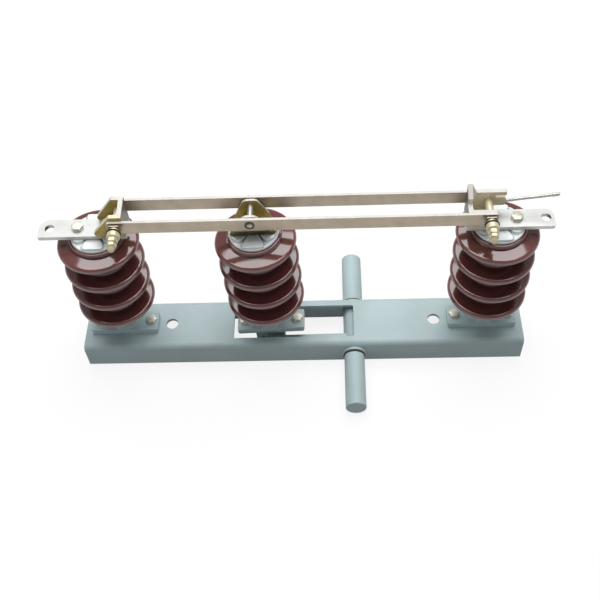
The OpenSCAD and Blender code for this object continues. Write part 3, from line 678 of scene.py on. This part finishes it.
def bushes_and_rings():
    """The bushes on the flanges, and the snap rings outside them that keep the shaft in place."""
    low = channel_high.y
    end = low + BUSH_LONG
    bush = [(BORE_R, low), (BUSH_OUT, low)] \
        + arc((BUSH_OUT - BUSH_ROUND, end - BUSH_ROUND), BUSH_ROUND, 0, 90, steps=4) \
        + [(BORE_R, end), (BORE_R, low)]
    first, half = end + RUN_GAP + RING_PLAY, RING_WIDE / 2
    snap = [(RING_IN, first)] + arc((RING_OUT - half, first + half), half, -90, 90) \
        + [(RING_IN, first + RING_WIDE), (RING_IN, first)]
    places = [at(shaft.x, 0, shaft.z) @ turn for turn in (to_front, to_back)]
    bushes = joined("flange_bushes", [turned("bush", bush, place) for place in places])
    dress(coat(bushes, paint), "base", ["shaft_bushes"])
    rings = joined("snap_rings", [turned("ring", snap, place) for place in places])
    dress(coat(rings, spring_steel), "shaft", ["shaft_rings"])


def cross_shaft():
    """The shaft, with rounded ends and a groove for each snap ring."""
    near = channel_high.y + BUSH_LONG + RUN_GAP
    far = near + RING_WIDE + 2 * RING_PLAY
    end = box("operating_shaft")[1].y
    half = [(SHAFT_R, near), (GROOVE_R, near), (GROOVE_R, far), (SHAFT_R, far)] \
        + arc((SHAFT_R - SHAFT_ROUND, end - SHAFT_ROUND), SHAFT_ROUND, 0, 90, steps=4) + [(0, end)]
    bar = turned("cross_shaft", both_ways(half), at(shaft.x, 0, shaft.z) @ to_back, steps=72)
    dress(coat(bar, paint), "shaft", ["operating_shaft"])


ARM_HALF, PIN_R, KEEPER, KEEPER_THICK, KEEPER_CHAMFER = 10.5, 5.0, 9.0, 3.0, 1.0
# Full rounds as shares of a half width, just under 1 so that the two arcs of an end never meet
ARM_ROUND, SLOT_ROUND = 0.999, 0.99


def crank_lever():
    """The crank arm on the shaft, round at the pin's end."""
    low, high = box("crank_arm")
    reach = shaft.x - crank.x
    arm = coat(block("crank_lever", (-ARM_HALF, low.y, -ARM_HALF), (reach, high.y, ARM_HALF)), paint)
    round_edges(arm, Y, lambda p: p.x < 0, ARM_HALF * ARM_ROUND, segments=12)
    slope = math.atan2(shaft.z - crank.z, reach)
    arm.data.transform(at(crank.x, 0, crank.z) @ Matrix.Rotation(-slope, 4, "Y"))
    drill(arm, (shaft.x, 0, shaft.z), SHAFT_R + PLAY, turn=to_front)
    drill(arm, (crank.x, 0, crank.z), PIN_R + PLAY, turn=to_front)
    soften(arm, PAINT_ROLL)
    dress(arm, "shaft", ["crank_arm"])


def crank_stud():
    """The crank's pin, with a wide keeper at its back end."""
    low, high = box("crank_pin")
    first, last = -high.y, -low.y
    inside = first + KEEPER_THICK
    pin = [(0, first), (KEEPER - KEEPER_CHAMFER, first), (KEEPER, first + KEEPER_CHAMFER), (KEEPER, inside),
           (PIN_R, inside), (PIN_R, last - END_CHAMFER), (PIN_R - END_CHAMFER, last), (0, last)]
    stud = coat(turned("crank_stud", pin, at(crank.x, 0, crank.z) @ to_front), steel)
    dress(stud, "shaft", ["crank_pin"])


LUG_LEFT, LUG_RIGHT, LUG_CORNER = -24.0, 19.0, 8.0
PIN_TRAVEL, PIN_LIFT = 11.2, 4.2


def drive_lug():
    """The lug under the middle foot, with the short slot that the crank pin works in."""
    low, high = box("drive_lug")
    lug = coat(block("lift_lug", (LUG_LEFT, low.y, -ARM_HALF), (LUG_RIGHT, high.y, link_foot)), paint)
    round_edges(lug, Y, lambda p: p.z < 0, LUG_CORNER)
    room = PIN_R + RUN_GAP
    slot = block("slot", (-PIN_TRAVEL - room, -THROUGH, -room), (room, THROUGH, PIN_LIFT + room))
    round_edges(slot, Y, everywhere, room * SLOT_ROUND)
    carve(lug, slot)
    lug.data.transform(at_link)
    soften(lug, PAINT_ROLL)
    dress(lug, "middle_post", ["drive_lug"])


# The live parts: terminals, brackets, blades and spring stacks
TERMINAL_BOLT_OFF, FRONT_CORNER, HINGE_BAR_CORNER, CONTACT_BAR_CORNER = 21.0, 3.0, 14.0, 10.0


def terminal(name, node, hole, out, back_corner, post_x):
    """A tinned bar with one wide round corner, its end hole and its two bolt holes."""
    low, high = box(node)
    piece = coat(block(name, low, high), tin)
    end = low.x if out < 0 else high.x
    round_edges(piece, Z, lambda p: abs(p.x - end) < NEAR and p.y > 0, back_corner, segments=10)
    round_edges(piece, Z, lambda p: abs(p.x - end) < NEAR and p.y < 0, FRONT_CORNER, segments=5)
    drill(piece, Vector(mount[hole]["pos_m"]) / MM, mount[hole]["dims"]["r_mm"])
    for side in (-1, 1):
        drill(piece, (post_x + side * TERMINAL_BOLT_OFF, 0, low.z), BOLT_HOLE)
    soften(piece, PLATE_ROLL)
    dress(piece, "base", [node])


BRACKET_PLATE = 6.0
EAR_TOP, EAR_CORNER, EAR_DROP = 16.0, 6.0, 3.5
SLANT_IN, SLANT_RISE = 1.2, 9.6


def hinge_bracket():
    """The folded bracket that the blades swing in: two slanted ears and a web behind them."""
    low, high = box("hinge_bracket")
    piece = coat(block("hinge_clevis", low, high), gold, painted_highlight, straw, painted_shade_grey)
    open_faces(piece, lambda face: face.normal.x < -FACING or abs(face.normal.z) > FACING)
    slant_top = Vector((high.x - EAR_TOP, 0, high.z))
    slant = Vector((low.x + SLANT_IN, 0, low.z + SLANT_RISE)) - slant_top
    trim(piece, slant_top, (slant.z, 0, -slant.x))
    round_corners(piece, lambda p: p.x < low.x + NEAR and p.z < low.z + NEAR, EAR_CORNER)
    thicken(piece, BRACKET_PLATE)
    pick(piece, "VERT", lambda v: v.co.y < 0 and v.co.z > high.z - NEAR)
    bpy.ops.transform.translate(value=(0, 0, -EAR_DROP))
    start()
    lap = BRACKET_PLATE / 2
    plate = block("plate", (low.x + EAR_CORNER, low.y + lap, low.z),
                  (high.x - lap, high.y - lap, low.z + BRACKET_PLATE))
    carve(piece, plate, "UNION")
    drill(piece, pivot, PIVOT_HOLE, turn=to_front)
    drill(piece, (left_x + TERMINAL_BOLT_OFF, 0, low.z), BOLT_HOLE, 4 * BRACKET_PLATE)
    soften(piece, PLATE_ROLL)
    over, front_ear = low.z + BRACKET_PLATE + NEAR, low.y + BRACKET_PLATE
    # A muted painted highlight in straw on the slants and the front ear's top, a bright painted highlight on
    # the back ear's top, and painted shade on the web's outer face
    bare(piece, straw, lambda n, p: p.z > over and n.x < -LEANING and p.x < slant_top.x + NEAR)
    bare(piece, straw, lambda n, p: p.z > over and n.z > LEANING and p.y < front_ear)
    bare(piece, painted_highlight, lambda n, p: p.z > over and n.z > LEANING and p.y > front_ear)
    bare(piece, painted_shade_grey, lambda n, p: n.x > FACING and p.x > high.x - NEAR)
    dress(piece, "base", ["hinge_bracket"])


EAR_HIGH, EAR_LOW, LEG, CONTACT_CORNER = 37.0, 9.0, 28.0, 1.5
FRONT_EAR_HIGH, FRONT_EAR_LONG = 29.5, 37.0
ARM_FROM, ARM_LOW, TAB_LOW, TAB_HIGH = 36.0, 31.0, 13.0, 25.0


def contact_outline(piece, low, high):
    """Cuts the contact bracket's sheet to its outline, before it has its thickness."""
    ear_high, leg, arm_from = low.z + EAR_HIGH, low.x + LEG, low.x + ARM_FROM
    front_end = low.x + FRONT_EAR_LONG

    def front(face):
        return face.calc_center_median().y < 0

    def ear(face):
        return abs(face.normal.y) > FACING

    def back_ear(face):
        return ear(face) and not front(face)

    def web(face):
        return face.normal.x < -FACING

    def arm(face):
        return back_ear(face) and face.calc_center_median().x > arm_from

    def gap(face):
        height = face.calc_center_median().z - low.z
        return arm(face) and (height < TAB_LOW or TAB_HIGH < height < ARM_LOW)

    # The front is lower and its ear shorter, and the web rises from the middle to the back
    score(piece, (0, 0, 0), (0, 1, 0), web)
    trim(piece, (0, 0, low.z + FRONT_EAR_HIGH), (0, 0, 1), front)
    trim(piece, (front_end, 0, 0), (1, 0, 0), lambda face: ear(face) and front(face))
    trim(piece, (0, 0, ear_high), (0, ear_high - high.z, high.y),
         lambda face: web(face) and not front(face))
    trim(piece, (0, 0, ear_high), (0, 0, 1), back_ear)
    # Past the leg both ears hang clear of the terminal
    score(piece, (leg, 0, 0), (1, 0, 0), ear)
    trim(piece, (0, 0, low.z + EAR_LOW), (0, 0, -1),
         lambda face: ear(face) and face.calc_center_median().x > leg)
    # The back ear ends in a bar, with the horn's tab below it
    score(piece, (arm_from, 0, 0), (1, 0, 0), back_ear)
    for height in (TAB_LOW, TAB_HIGH, ARM_LOW):
        score(piece, (0, 0, low.z + height), (0, 0, 1), arm)
    open_faces(piece, gap)
    round_corners(piece, lambda p: p.x > (front_end if p.y < 0 else high.x) - NEAR, CONTACT_CORNER)


def contact_bracket():
    """The folded bracket that the blades drop over: two ears and a web, with a bar and a tab behind."""
    low, high = box("contact_bracket")
    # Painted light: the body is a pale straw that stands in for strong light on it
    piece = coat(block("contact_clevis", low, high), painted_lit_straw, painted_highlight, painted_shade_grey, straw)
    open_faces(piece, lambda face: face.normal.x > FACING or abs(face.normal.z) > FACING)
    contact_outline(piece, low, high)
    thicken(piece, BRACKET_PLATE)
    lap, plate_top = BRACKET_PLATE / 2, low.z + BRACKET_PLATE
    plate = block("plate", (low.x + lap, low.y + lap, low.z), (low.x + LEG, high.y - lap, plate_top))
    carve(piece, plate, "UNION")
    drill(piece, (contact.x, 0, pivot.z), PIVOT_HOLE, turn=to_front)
    drill(piece, (right_x - TERMINAL_BOLT_OFF, 0, low.z), BOLT_HOLE, 4 * BRACKET_PLATE)
    soften(piece, PLATE_ROLL)
    tab_from, tab_top = low.x + ARM_FROM + NEAR, low.z + TAB_HIGH + NEAR
    # Painted highlight on the upward faces above the plate, and painted shade on the web's outer face
    bare(piece, painted_highlight, lambda n, p: p.z > plate_top + NEAR and n.z > LEANING)
    bare(piece, painted_shade_grey, lambda n, p: n.x < -FACING and p.x < low.x + NEAR)
    bare(piece, straw, lambda n, p: p.y > 0 and p.x > tab_from and p.z < tab_top)
    dress(piece, "base", ["contact_bracket"])


# Steps along the horn: share of its length, share of its rise, and how much its end swells
HORN_STEPS = ((0.33, 0.36, 1.0), (0.02, 0.02, 1.0), (0.26, 0.20, 1.0), (0.24, 0.26, 1.0),
              (0.01, 0.01, 1.22), (0.12, 0.12, 1.0), (0.02, 0.02, 0.6))
HORN_R, HORN_STUB, HORN_TIP_R = 2.2, 2.0, 2.75


def arcing_horn():
    """The thin rod on the contact bracket's tab, drawn out in steps with a small kink and a thicker tip."""
    low, high = box("arcing_horn")
    start()
    bpy.ops.mesh.primitive_cylinder_add(
        vertices=16, radius=HORN_R, depth=HORN_STUB, rotation=(0, math.pi / 2, 0),
        location=(low.x + HORN_STUB / 2, (low.y + high.y) / 2, low.z + HORN_R))
    piece = fresh("horn_rod")
    reach = low.x + HORN_STUB
    length, rise = high.x - reach, high.z - low.z - HORN_R - HORN_TIP_R
    for share, lift, swell in HORN_STEPS:
        step = (share * length, 0, lift * rise)
        pick(piece, "FACE",
             lambda face: face.normal.x > FACING and abs(face.calc_center_median().x - reach) < CLOSE)
        bpy.ops.mesh.extrude_region_move(TRANSFORM_OT_translate={"value": step})
        bpy.ops.transform.resize(value=(1, swell, swell))
        reach += share * length
    start()
    dress(coat(piece, steel), "base", ["arcing_horn"])


BLADE_CORNER, NOTCH_GAP, NOTCH_DEEP, DRIVE_PIN_R = 3.0, 0.6, 30.0, 3.75
# Deep enough for one blade or pad alone
ONE_PLATE = 20


def blade(name, node):
    """A flat blade with round corners, its two holes and the notch that drops over the contact bolt."""
    low, high = box(node)
    piece = coat(block(name, low, high), copper, painted_highlight)
    round_edges(piece, Y, everywhere, BLADE_CORNER, segments=5)
    y, half = (low.y + high.y) / 2, ONE_PLATE / 2
    notch = PIVOT_BOLT / 2 + NOTCH_GAP
    drill(piece, (pivot.x, y, pivot.z), PIVOT_BOLT / 2 + RUN_GAP, ONE_PLATE, to_front)
    drill(piece, (drive.x, y, drive.z), DRIVE_PIN_R + PLAY, ONE_PLATE, to_front)
    drill(piece, (contact.x, y, pivot.z), notch, ONE_PLATE, to_front)
    carve(piece, block("notch", (contact.x - notch, y - half, pivot.z - NOTCH_DEEP),
                       (contact.x + notch, y + half, pivot.z)))
    soften(piece, THIN_ROLL)
    # Painted highlight on the blade's top edge
    bare(piece, painted_highlight, lambda n, p: n.z > LEANING and p.z > high.z - NEAR)
    dress(piece, "blades", [node])


DRIVE_HALF, DRIVE_EAR, DRIVE_SEAT, DRIVE_FOOT, DRIVE_TOP = 31.0, 16.0, 11.5, 29.0, 9.0
DRIVE_EDGE, DRIVE_CORNER, PLATE_CORNER = 9.5, 5.0, 3.0
STEP_LOW, STEP_HIGH = 5.0, 14.0
# The painted highlight goes on faces that look up by this share and keeps off the pin's hole, and the
# painted shade reaches so far up
HIGHLIGHT_UP, HIGHLIGHT_OFF, SHADE_HIGH = 0.25, 2.0, 4.0


def drive_bracket():
    """The bracket on the middle cap: a plate and two tall ears that step out to carry the drive pin."""
    def ear(face):
        return abs(face.normal.y) > FACING

    top = link.length + DRIVE_EDGE
    ears = coat(block("drive_clevis", (-DRIVE_FOOT, -DRIVE_EAR, drive_base), (DRIVE_FOOT, DRIVE_EAR, top)),
                gold, painted_highlight, painted_shade_olive)
    open_faces(ears, lambda face: face.normal.z > FACING or abs(face.normal.x) > FACING)
    for side in (-1, 1):
        trim(ears, (side * DRIVE_TOP, 0, top), (side * (top - drive_base), 0, DRIVE_FOOT - DRIVE_TOP), ear)
    round_corners(ears, lambda p: p.z > top - NEAR, DRIVE_CORNER)
    for height in (STEP_LOW, STEP_HIGH):
        score(ears, (0, 0, drive_base + height), (0, 0, 1), ear)
    pick(ears, "VERT", lambda v: v.co.z < drive_base + STEP_LOW + CLOSE)
    bpy.ops.transform.resize(value=(1, DRIVE_SEAT / DRIVE_EAR, 1))
    start()
    thicken(ears, DRIVE_PLATE)
    lap = DRIVE_SEAT - DRIVE_PLATE / 2
    plate = block("plate", (-DRIVE_HALF, -lap, drive_base), (DRIVE_HALF, lap, drive_base + DRIVE_PLATE))
    round_edges(plate, Z, everywhere, PLATE_CORNER, segments=4)
    carve(ears, plate, "UNION")
    for side in (-1, 1):
        drill(ears, (side * TERMINAL_BOLT_OFF, 0, drive_base), BOLT_HOLE, 4 * DRIVE_PLATE)
    ears.data.transform(at_link)
    drill(ears, drive, DRIVE_PIN_R + RUN_GAP, turn=to_front)
    soften(ears, THIN_ROLL)
    plate_top = post_top + 2 * DRIVE_PLATE
    # Painted highlight on the upward faces over the plate, and painted shade on the plate and the outer feet
    # of the ears
    bare(ears, painted_highlight, lambda n, p: p.z > plate_top and n.z > HIGHLIGHT_UP and abs(n.y) < LEANING
         and (p - drive).length > DRIVE_PIN_R + HIGHLIGHT_OFF)
    bare(ears, painted_shade_olive, lambda n, p: p.z < plate_top + SHADE_HIGH
         and (n.y * p.y > 0 or abs(n.x) > LEANING))
    dress(ears, "middle_post", ["drive_bracket"])


BLADE_IN, BLADE_OUT, PIN_WASHER, PIN_WASHER_R = 17.5, 21.5, 1.2, 6.5
RIVET_RISE, RIVET_SWELL = 1.0, 0.9


def drive_pin():
    """The pin between the blades, riveted over at both ends, and its washers."""
    axis = at(drive.x, 0, drive.z) @ to_front
    end = box("drive_pin")[1].y
    dome = DRIVE_PIN_R + RIVET_SWELL
    half = [(DRIVE_PIN_R, BLADE_OUT + RIVET_RISE)] + arc((0, end - dome), dome, 20, 90, steps=5)
    pin = coat(turned("rivet_pin", both_ways(half), axis), steel)
    dress(pin, "blades", ["drive_pin"])
    rings = []
    for low in (-BLADE_OUT - PIN_WASHER, -BLADE_IN, BLADE_IN - PIN_WASHER, BLADE_OUT):
        washer = ring("washer", DRIVE_PIN_R + PLAY, PIN_WASHER_R, low, low + PIN_WASHER)
        washer.data.transform(axis)
        rings.append(washer)
    # The washers are painted dark as shade round the rivet heads
    dress(coat(joined("pin_washers", rings), painted_shade_olive), "blades", ["drive_pin_washers"])


PAD_HALF, PAD_ROUND = 7.5, 2.0
COLLAR_R, COLLAR_LONG, COLLAR_ROLL = 6.5, 5.0, 0.8
SPRING_R, SPRINGS_LONG, SPRING_ROLL, SPRING_DISH = 9.5, 1.5, 0.4, 1.4
CUP_R, CUP_FOOT_ROUND, CUP_TOP_ROUND = 8.5, 1.0, 1.6
NUT_SIZE, NUT_RING, NUT_RING_R, NUT_RING_ROLL = 7.2, 1.0, 6.4, 0.3
LOCK_SIZE, LOCK_LONG, LOCK_GAP = 6.4, 5.4, 0.6
BACK_HEAD_R, HEAD_INSET, HEAD_RISE, TIP_CHAMFER = 8.0, 2.0, 1.6, 1.2


def pressure_pad(name, x):
    """The copper pad under a spring stack."""
    node = name + "_pressure_plate"
    low, high = box(node)
    pad = coat(block(name + "_pressure_pad", (x - PAD_HALF, low.y, pivot.z - PAD_HALF),
                     (x + PAD_HALF, high.y, pivot.z + PAD_HALF)), copper)
    round_edges(pad, Y, everywhere, PAD_ROUND, segments=4)
    drill(pad, (x, low.y, pivot.z), PIVOT_HOLE, ONE_PLATE, to_front)
    soften(pad, THIN_ROLL)
    dress(pad, "base", [node])


def cup_and_springs(name, axis, seat, end):
    """The collar, the dished springs and the cup, from the pad to the nut."""
    spring = seat + COLLAR_LONG
    cup, leaf = spring + SPRINGS_LONG, SPRINGS_LONG / 2
    rolled, dish = SPRING_R - SPRING_ROLL, SPRING_R - SPRING_DISH
    dished = [(PIVOT_HOLE, spring), (rolled, spring), (SPRING_R, spring + leaf / 2), (dish, spring + leaf),
              (SPRING_R, cup - leaf / 2), (rolled, cup), (PIVOT_HOLE, cup), (PIVOT_HOLE, spring)]
    rounded = [(PIVOT_HOLE, cup)] \
        + arc((CUP_R - CUP_FOOT_ROUND, cup + CUP_FOOT_ROUND), CUP_FOOT_ROUND, -90, 0, steps=4) \
        + arc((CUP_R - CUP_TOP_ROUND, end - CUP_TOP_ROUND), CUP_TOP_ROUND, 0, 90, steps=5) \
        + [(PIVOT_HOLE, end), (PIVOT_HOLE, cup)]
    parts = [coat(ring("collar", PIVOT_HOLE, COLLAR_R, seat, spring, COLLAR_ROLL), cream),
             coat(turned("springs", dished), spring_steel), coat(turned("cup", rounded), cream)]
    stack = joined(name + "_cup_and_springs", parts)
    stack.data.transform(axis)
    dress(stack, "base", [name + "_spring_cup"])


def spring_nut(name, axis, low, high):
    """The nut that sets the springs, on its washer."""
    hole = PIVOT_THREAD / 2 + PLAY
    nut = hexagon(name + "_spring_nut", NUT_SIZE, high - low - NUT_RING, both_ends=True)
    drill(nut, (0, 0, 0), hole)
    nut.data.transform(at(0, 0, low + NUT_RING))
    washer = ring("washer", hole, NUT_RING_R, low, low + NUT_RING, NUT_RING_ROLL)
    nut = joined(name + "_spring_nut", [nut, washer])
    nut.data.transform(axis)
    dress(coat(nut, cream), "base", [name + "_nut"])


def through_bolt(name, axis, seat, cup_end, nut_end):
    """The bolt along Y: a low round head at the back, the thread and its lock nut at the front."""
    low, high = box(name + "_bolt")
    first, last, radius, thin = -high.y, -low.y, PIVOT_BOLT / 2, PIVOT_THREAD / 2
    head = [(0, first), (BACK_HEAD_R - HEAD_INSET, first), (BACK_HEAD_R, first + HEAD_RISE),
            (BACK_HEAD_R, seat), (radius, seat)]
    shank = [(radius, cup_end), (thin, cup_end)] \
        + threaded(cup_end + 2 * NUT_RING, last - TIP_CHAMFER, thin) \
        + [(thin - TIP_CHAMFER, last), (0, last)]
    lock = hexagon("lock_nut", LOCK_SIZE, LOCK_LONG, both_ends=True)
    lock.data.transform(axis @ at(0, 0, nut_end + LOCK_GAP))
    bolt = joined(name + "_through_bolt", [turned(name + "_through_bolt", head + shank, axis), lock])
    dress(coat(bolt, cream), "base", [name + "_bolt"])


def spring_stack(name, x):
    """What clamps the blades at one end: the pad, the springs under their cup, the nut and the bolt."""
    axis = at(x, 0, pivot.z) @ to_front
    pad_low, pad_high = box(name + "_pressure_plate")
    cup_end, nut_end = -box(name + "_spring_cup")[0].y, -box(name + "_nut")[0].y
    pressure_pad(name, x)
    cup_and_springs(name, axis, -pad_low.y, cup_end)
    spring_nut(name, axis, cup_end, nut_end)
    # The head bears as far behind the bracket's middle as the pad does in front of it
    through_bolt(name, axis, pad_high.y, cup_end, nut_end)


base_channel()
bushes_and_rings()
cross_shaft()
crank_lever()
crank_stud()
drive_lug()
cap_pattern, foot_pattern = cap_casting(), foot_casting()
long_bolt = head_bolt("long_bolt", FOOT_PLATE + WALL + NUT_SHARE * POST_BOLT, nut_drop=FOOT_PLATE + WALL)
foot_bolt = head_bolt("foot_bolt", FOOT_PLATE)
cap_bolt = head_bolt("cap_bolt", 2 * CAP_THICK + DRIVE_PLATE)
bar_bolt = head_bolt("bar_bolt", 2 * CAP_THICK + BRACKET_PLATE)
for side, (place, body) in posts.items():
    porcelain_post(side)
    cap = copy_of(cap_pattern, side + "_cap_casting", place)
    dress(cap, body, [side + "_cap"], smooth=60)
    foot = copy_of(foot_pattern, side + "_foot_casting", place)
    dress(foot, body, [side + "_foot"], smooth=60)
    bolt_set(side + "_hold_down_bolts", foot_bolt if side == "middle" else long_bolt,
             [place @ at(s * FOOT_BOLT_OFF, 0, FOOT_PLATE) for s in (-1, 1)], body, [side + "_foot_bolts"])
for name, post_x, out in (("hinge", left_x, -1), ("contact", right_x, 1)):
    spots = [at(post_x + out * TERMINAL_BOLT_OFF, 0, terminal_top),
             at(post_x - out * TERMINAL_BOLT_OFF, 0, terminal_top + BRACKET_PLATE)]
    bolt_set(name + "_bar_bolts", bar_bolt, spots, "base", [name + "_terminal_bolts"])
bolt_set("clevis_bolts", cap_bolt,
         [at_link @ at(s * TERMINAL_BOLT_OFF, 0, drive_base + DRIVE_PLATE) for s in (-1, 1)],
         "middle_post", ["drive_bracket_bolts"])
for pattern in (cap_pattern, foot_pattern, long_bolt, foot_bolt, cap_bolt, bar_bolt):
    bpy.data.objects.remove(pattern)

terminal("hinge_bar", "hinge_terminal", "hinge_terminal_hole", -1, HINGE_BAR_CORNER, left_x)
terminal("contact_bar", "contact_terminal", "contact_terminal_hole", 1, CONTACT_BAR_CORNER, right_x)
hinge_bracket()
contact_bracket()
arcing_horn()
blade("front_blade_bar", "front_blade")
blade("back_blade_bar", "back_blade")
drive_bracket()
drive_pin()
spring_stack("hinge", pivot.x)
spring_stack("contact", contact.x)


# Floor, light and camera, in metres
FLOOR_SIZE, FLOOR_GLOW = 40, 0.84


def pale_floor():
    """A white floor with a faint shadow: a glow that only shows, and matt paint that takes the light."""
    start()
    bpy.ops.mesh.primitive_plane_add(size=FLOOR_SIZE, location=(0, 0, 0))
    floor = bpy.context.object
    floor.name = "studio_floor"
    material, tree = blank("pale_floor_paint")
    path = add(tree, "LightPath").outputs
    mirror = add(tree, "Math", {0: path["Is Camera Ray"], 1: path["Is Glossy Ray"]}, operation="MAXIMUM")
    seen = add(tree, "Math", {0: mirror.outputs["Value"], 1: path["Is Transmission Ray"]},
               operation="MAXIMUM")
    strength = add(tree, "Math", {0: seen.outputs["Value"], 1: FLOOR_GLOW}, operation="MULTIPLY")
    glow = add(tree, "Emission", {"Color": linear("#ffffff"), "Strength": strength.outputs["Value"]})
    matt = add(tree, "BsdfDiffuse", {"Color": linear("#6e6e6e")})
    both = add(tree, "AddShader", {0: glow.outputs[0], 1: matt.outputs[0]})
    add(tree, "OutputMaterial", {"Surface": both.outputs[0]})
    floor.data.materials.append(material)


# The surroundings are white up to the first height, the sine of its angle, and dim above the second
WHITE_TO, DIM_FROM, DIM = 0.08, 0.3, 0.34


def studio_world():
    """White studio walls near the floor under a dim ceiling."""
    world = bpy.data.worlds.new("white_walls")
    bpy.context.scene.world = world
    world.use_nodes = True
    tree = world.node_tree
    tree.nodes.clear()
    height = add(tree, "SeparateXYZ", {"Vector": add(tree, "TexCoord").outputs["Generated"]})
    strength = add(tree, "MapRange", {"Value": height.outputs["Z"], "From Min": WHITE_TO,
                                      "From Max": DIM_FROM, "To Min": 1.0, "To Max": DIM})
    back = add(tree, "Background", {"Color": linear("#ffffff"), "Strength": strength.outputs["Result"]})
    add(tree, "OutputWorld", {"Surface": back.outputs[0]})


LAMP_PLACE, LAMP_AIM, LAMP_SIZE, LAMP_WATTS = (0.02, 0.65, 1.9), (0.02, 0.65, 0), (2.2, 1.9), 51


def softbox(name, place, aim, size, watts):
    """A rectangular lamp that faces a point."""
    start()
    turn = (Vector(aim) - Vector(place)).to_track_quat("-Z", "Y").to_euler()
    bpy.ops.object.light_add(type="AREA", location=place, rotation=turn)
    lamp = bpy.context.object
    lamp.name = name
    lamp.data.shape = "RECTANGLE"
    lamp.data.size, lamp.data.size_y = size
    lamp.data.energy = watts


# Place, direction and focal length of the camera, solved from the photograph's own lines
CAMERA_PLACE = Vector((0.04833, -0.77346, 1.14799))
PAN, TILT, ROLL = -0.0637, 0.9355, 0.0713
LENS, SENSOR = 53.95, 36.0


def photo_camera():
    """The camera at the photograph's viewing angle."""
    ahead = Vector((math.sin(PAN) * math.cos(TILT), math.cos(PAN) * math.cos(TILT), -math.sin(TILT)))
    right = Vector((math.cos(PAN), -math.sin(PAN), 0))
    down = ahead.cross(right)
    across = math.cos(ROLL) * right + math.sin(ROLL) * down
    up = math.sin(ROLL) * right - math.cos(ROLL) * down
    start()
    bpy.ops.object.camera_add(location=CAMERA_PLACE)
    camera = bpy.context.object
    camera.rotation_euler = Matrix((across, up, -ahead)).transposed().to_euler()
    camera.data.lens = LENS
    camera.data.sensor_width = SENSOR
    camera.data.clip_start = 0.01
    bpy.context.scene.camera = camera


pale_floor()
studio_world()
softbox("overhead_softbox", LAMP_PLACE, LAMP_AIM, LAMP_SIZE, LAMP_WATTS)
photo_camera()
bpy.context.scene.view_settings.view_transform = "Standard"
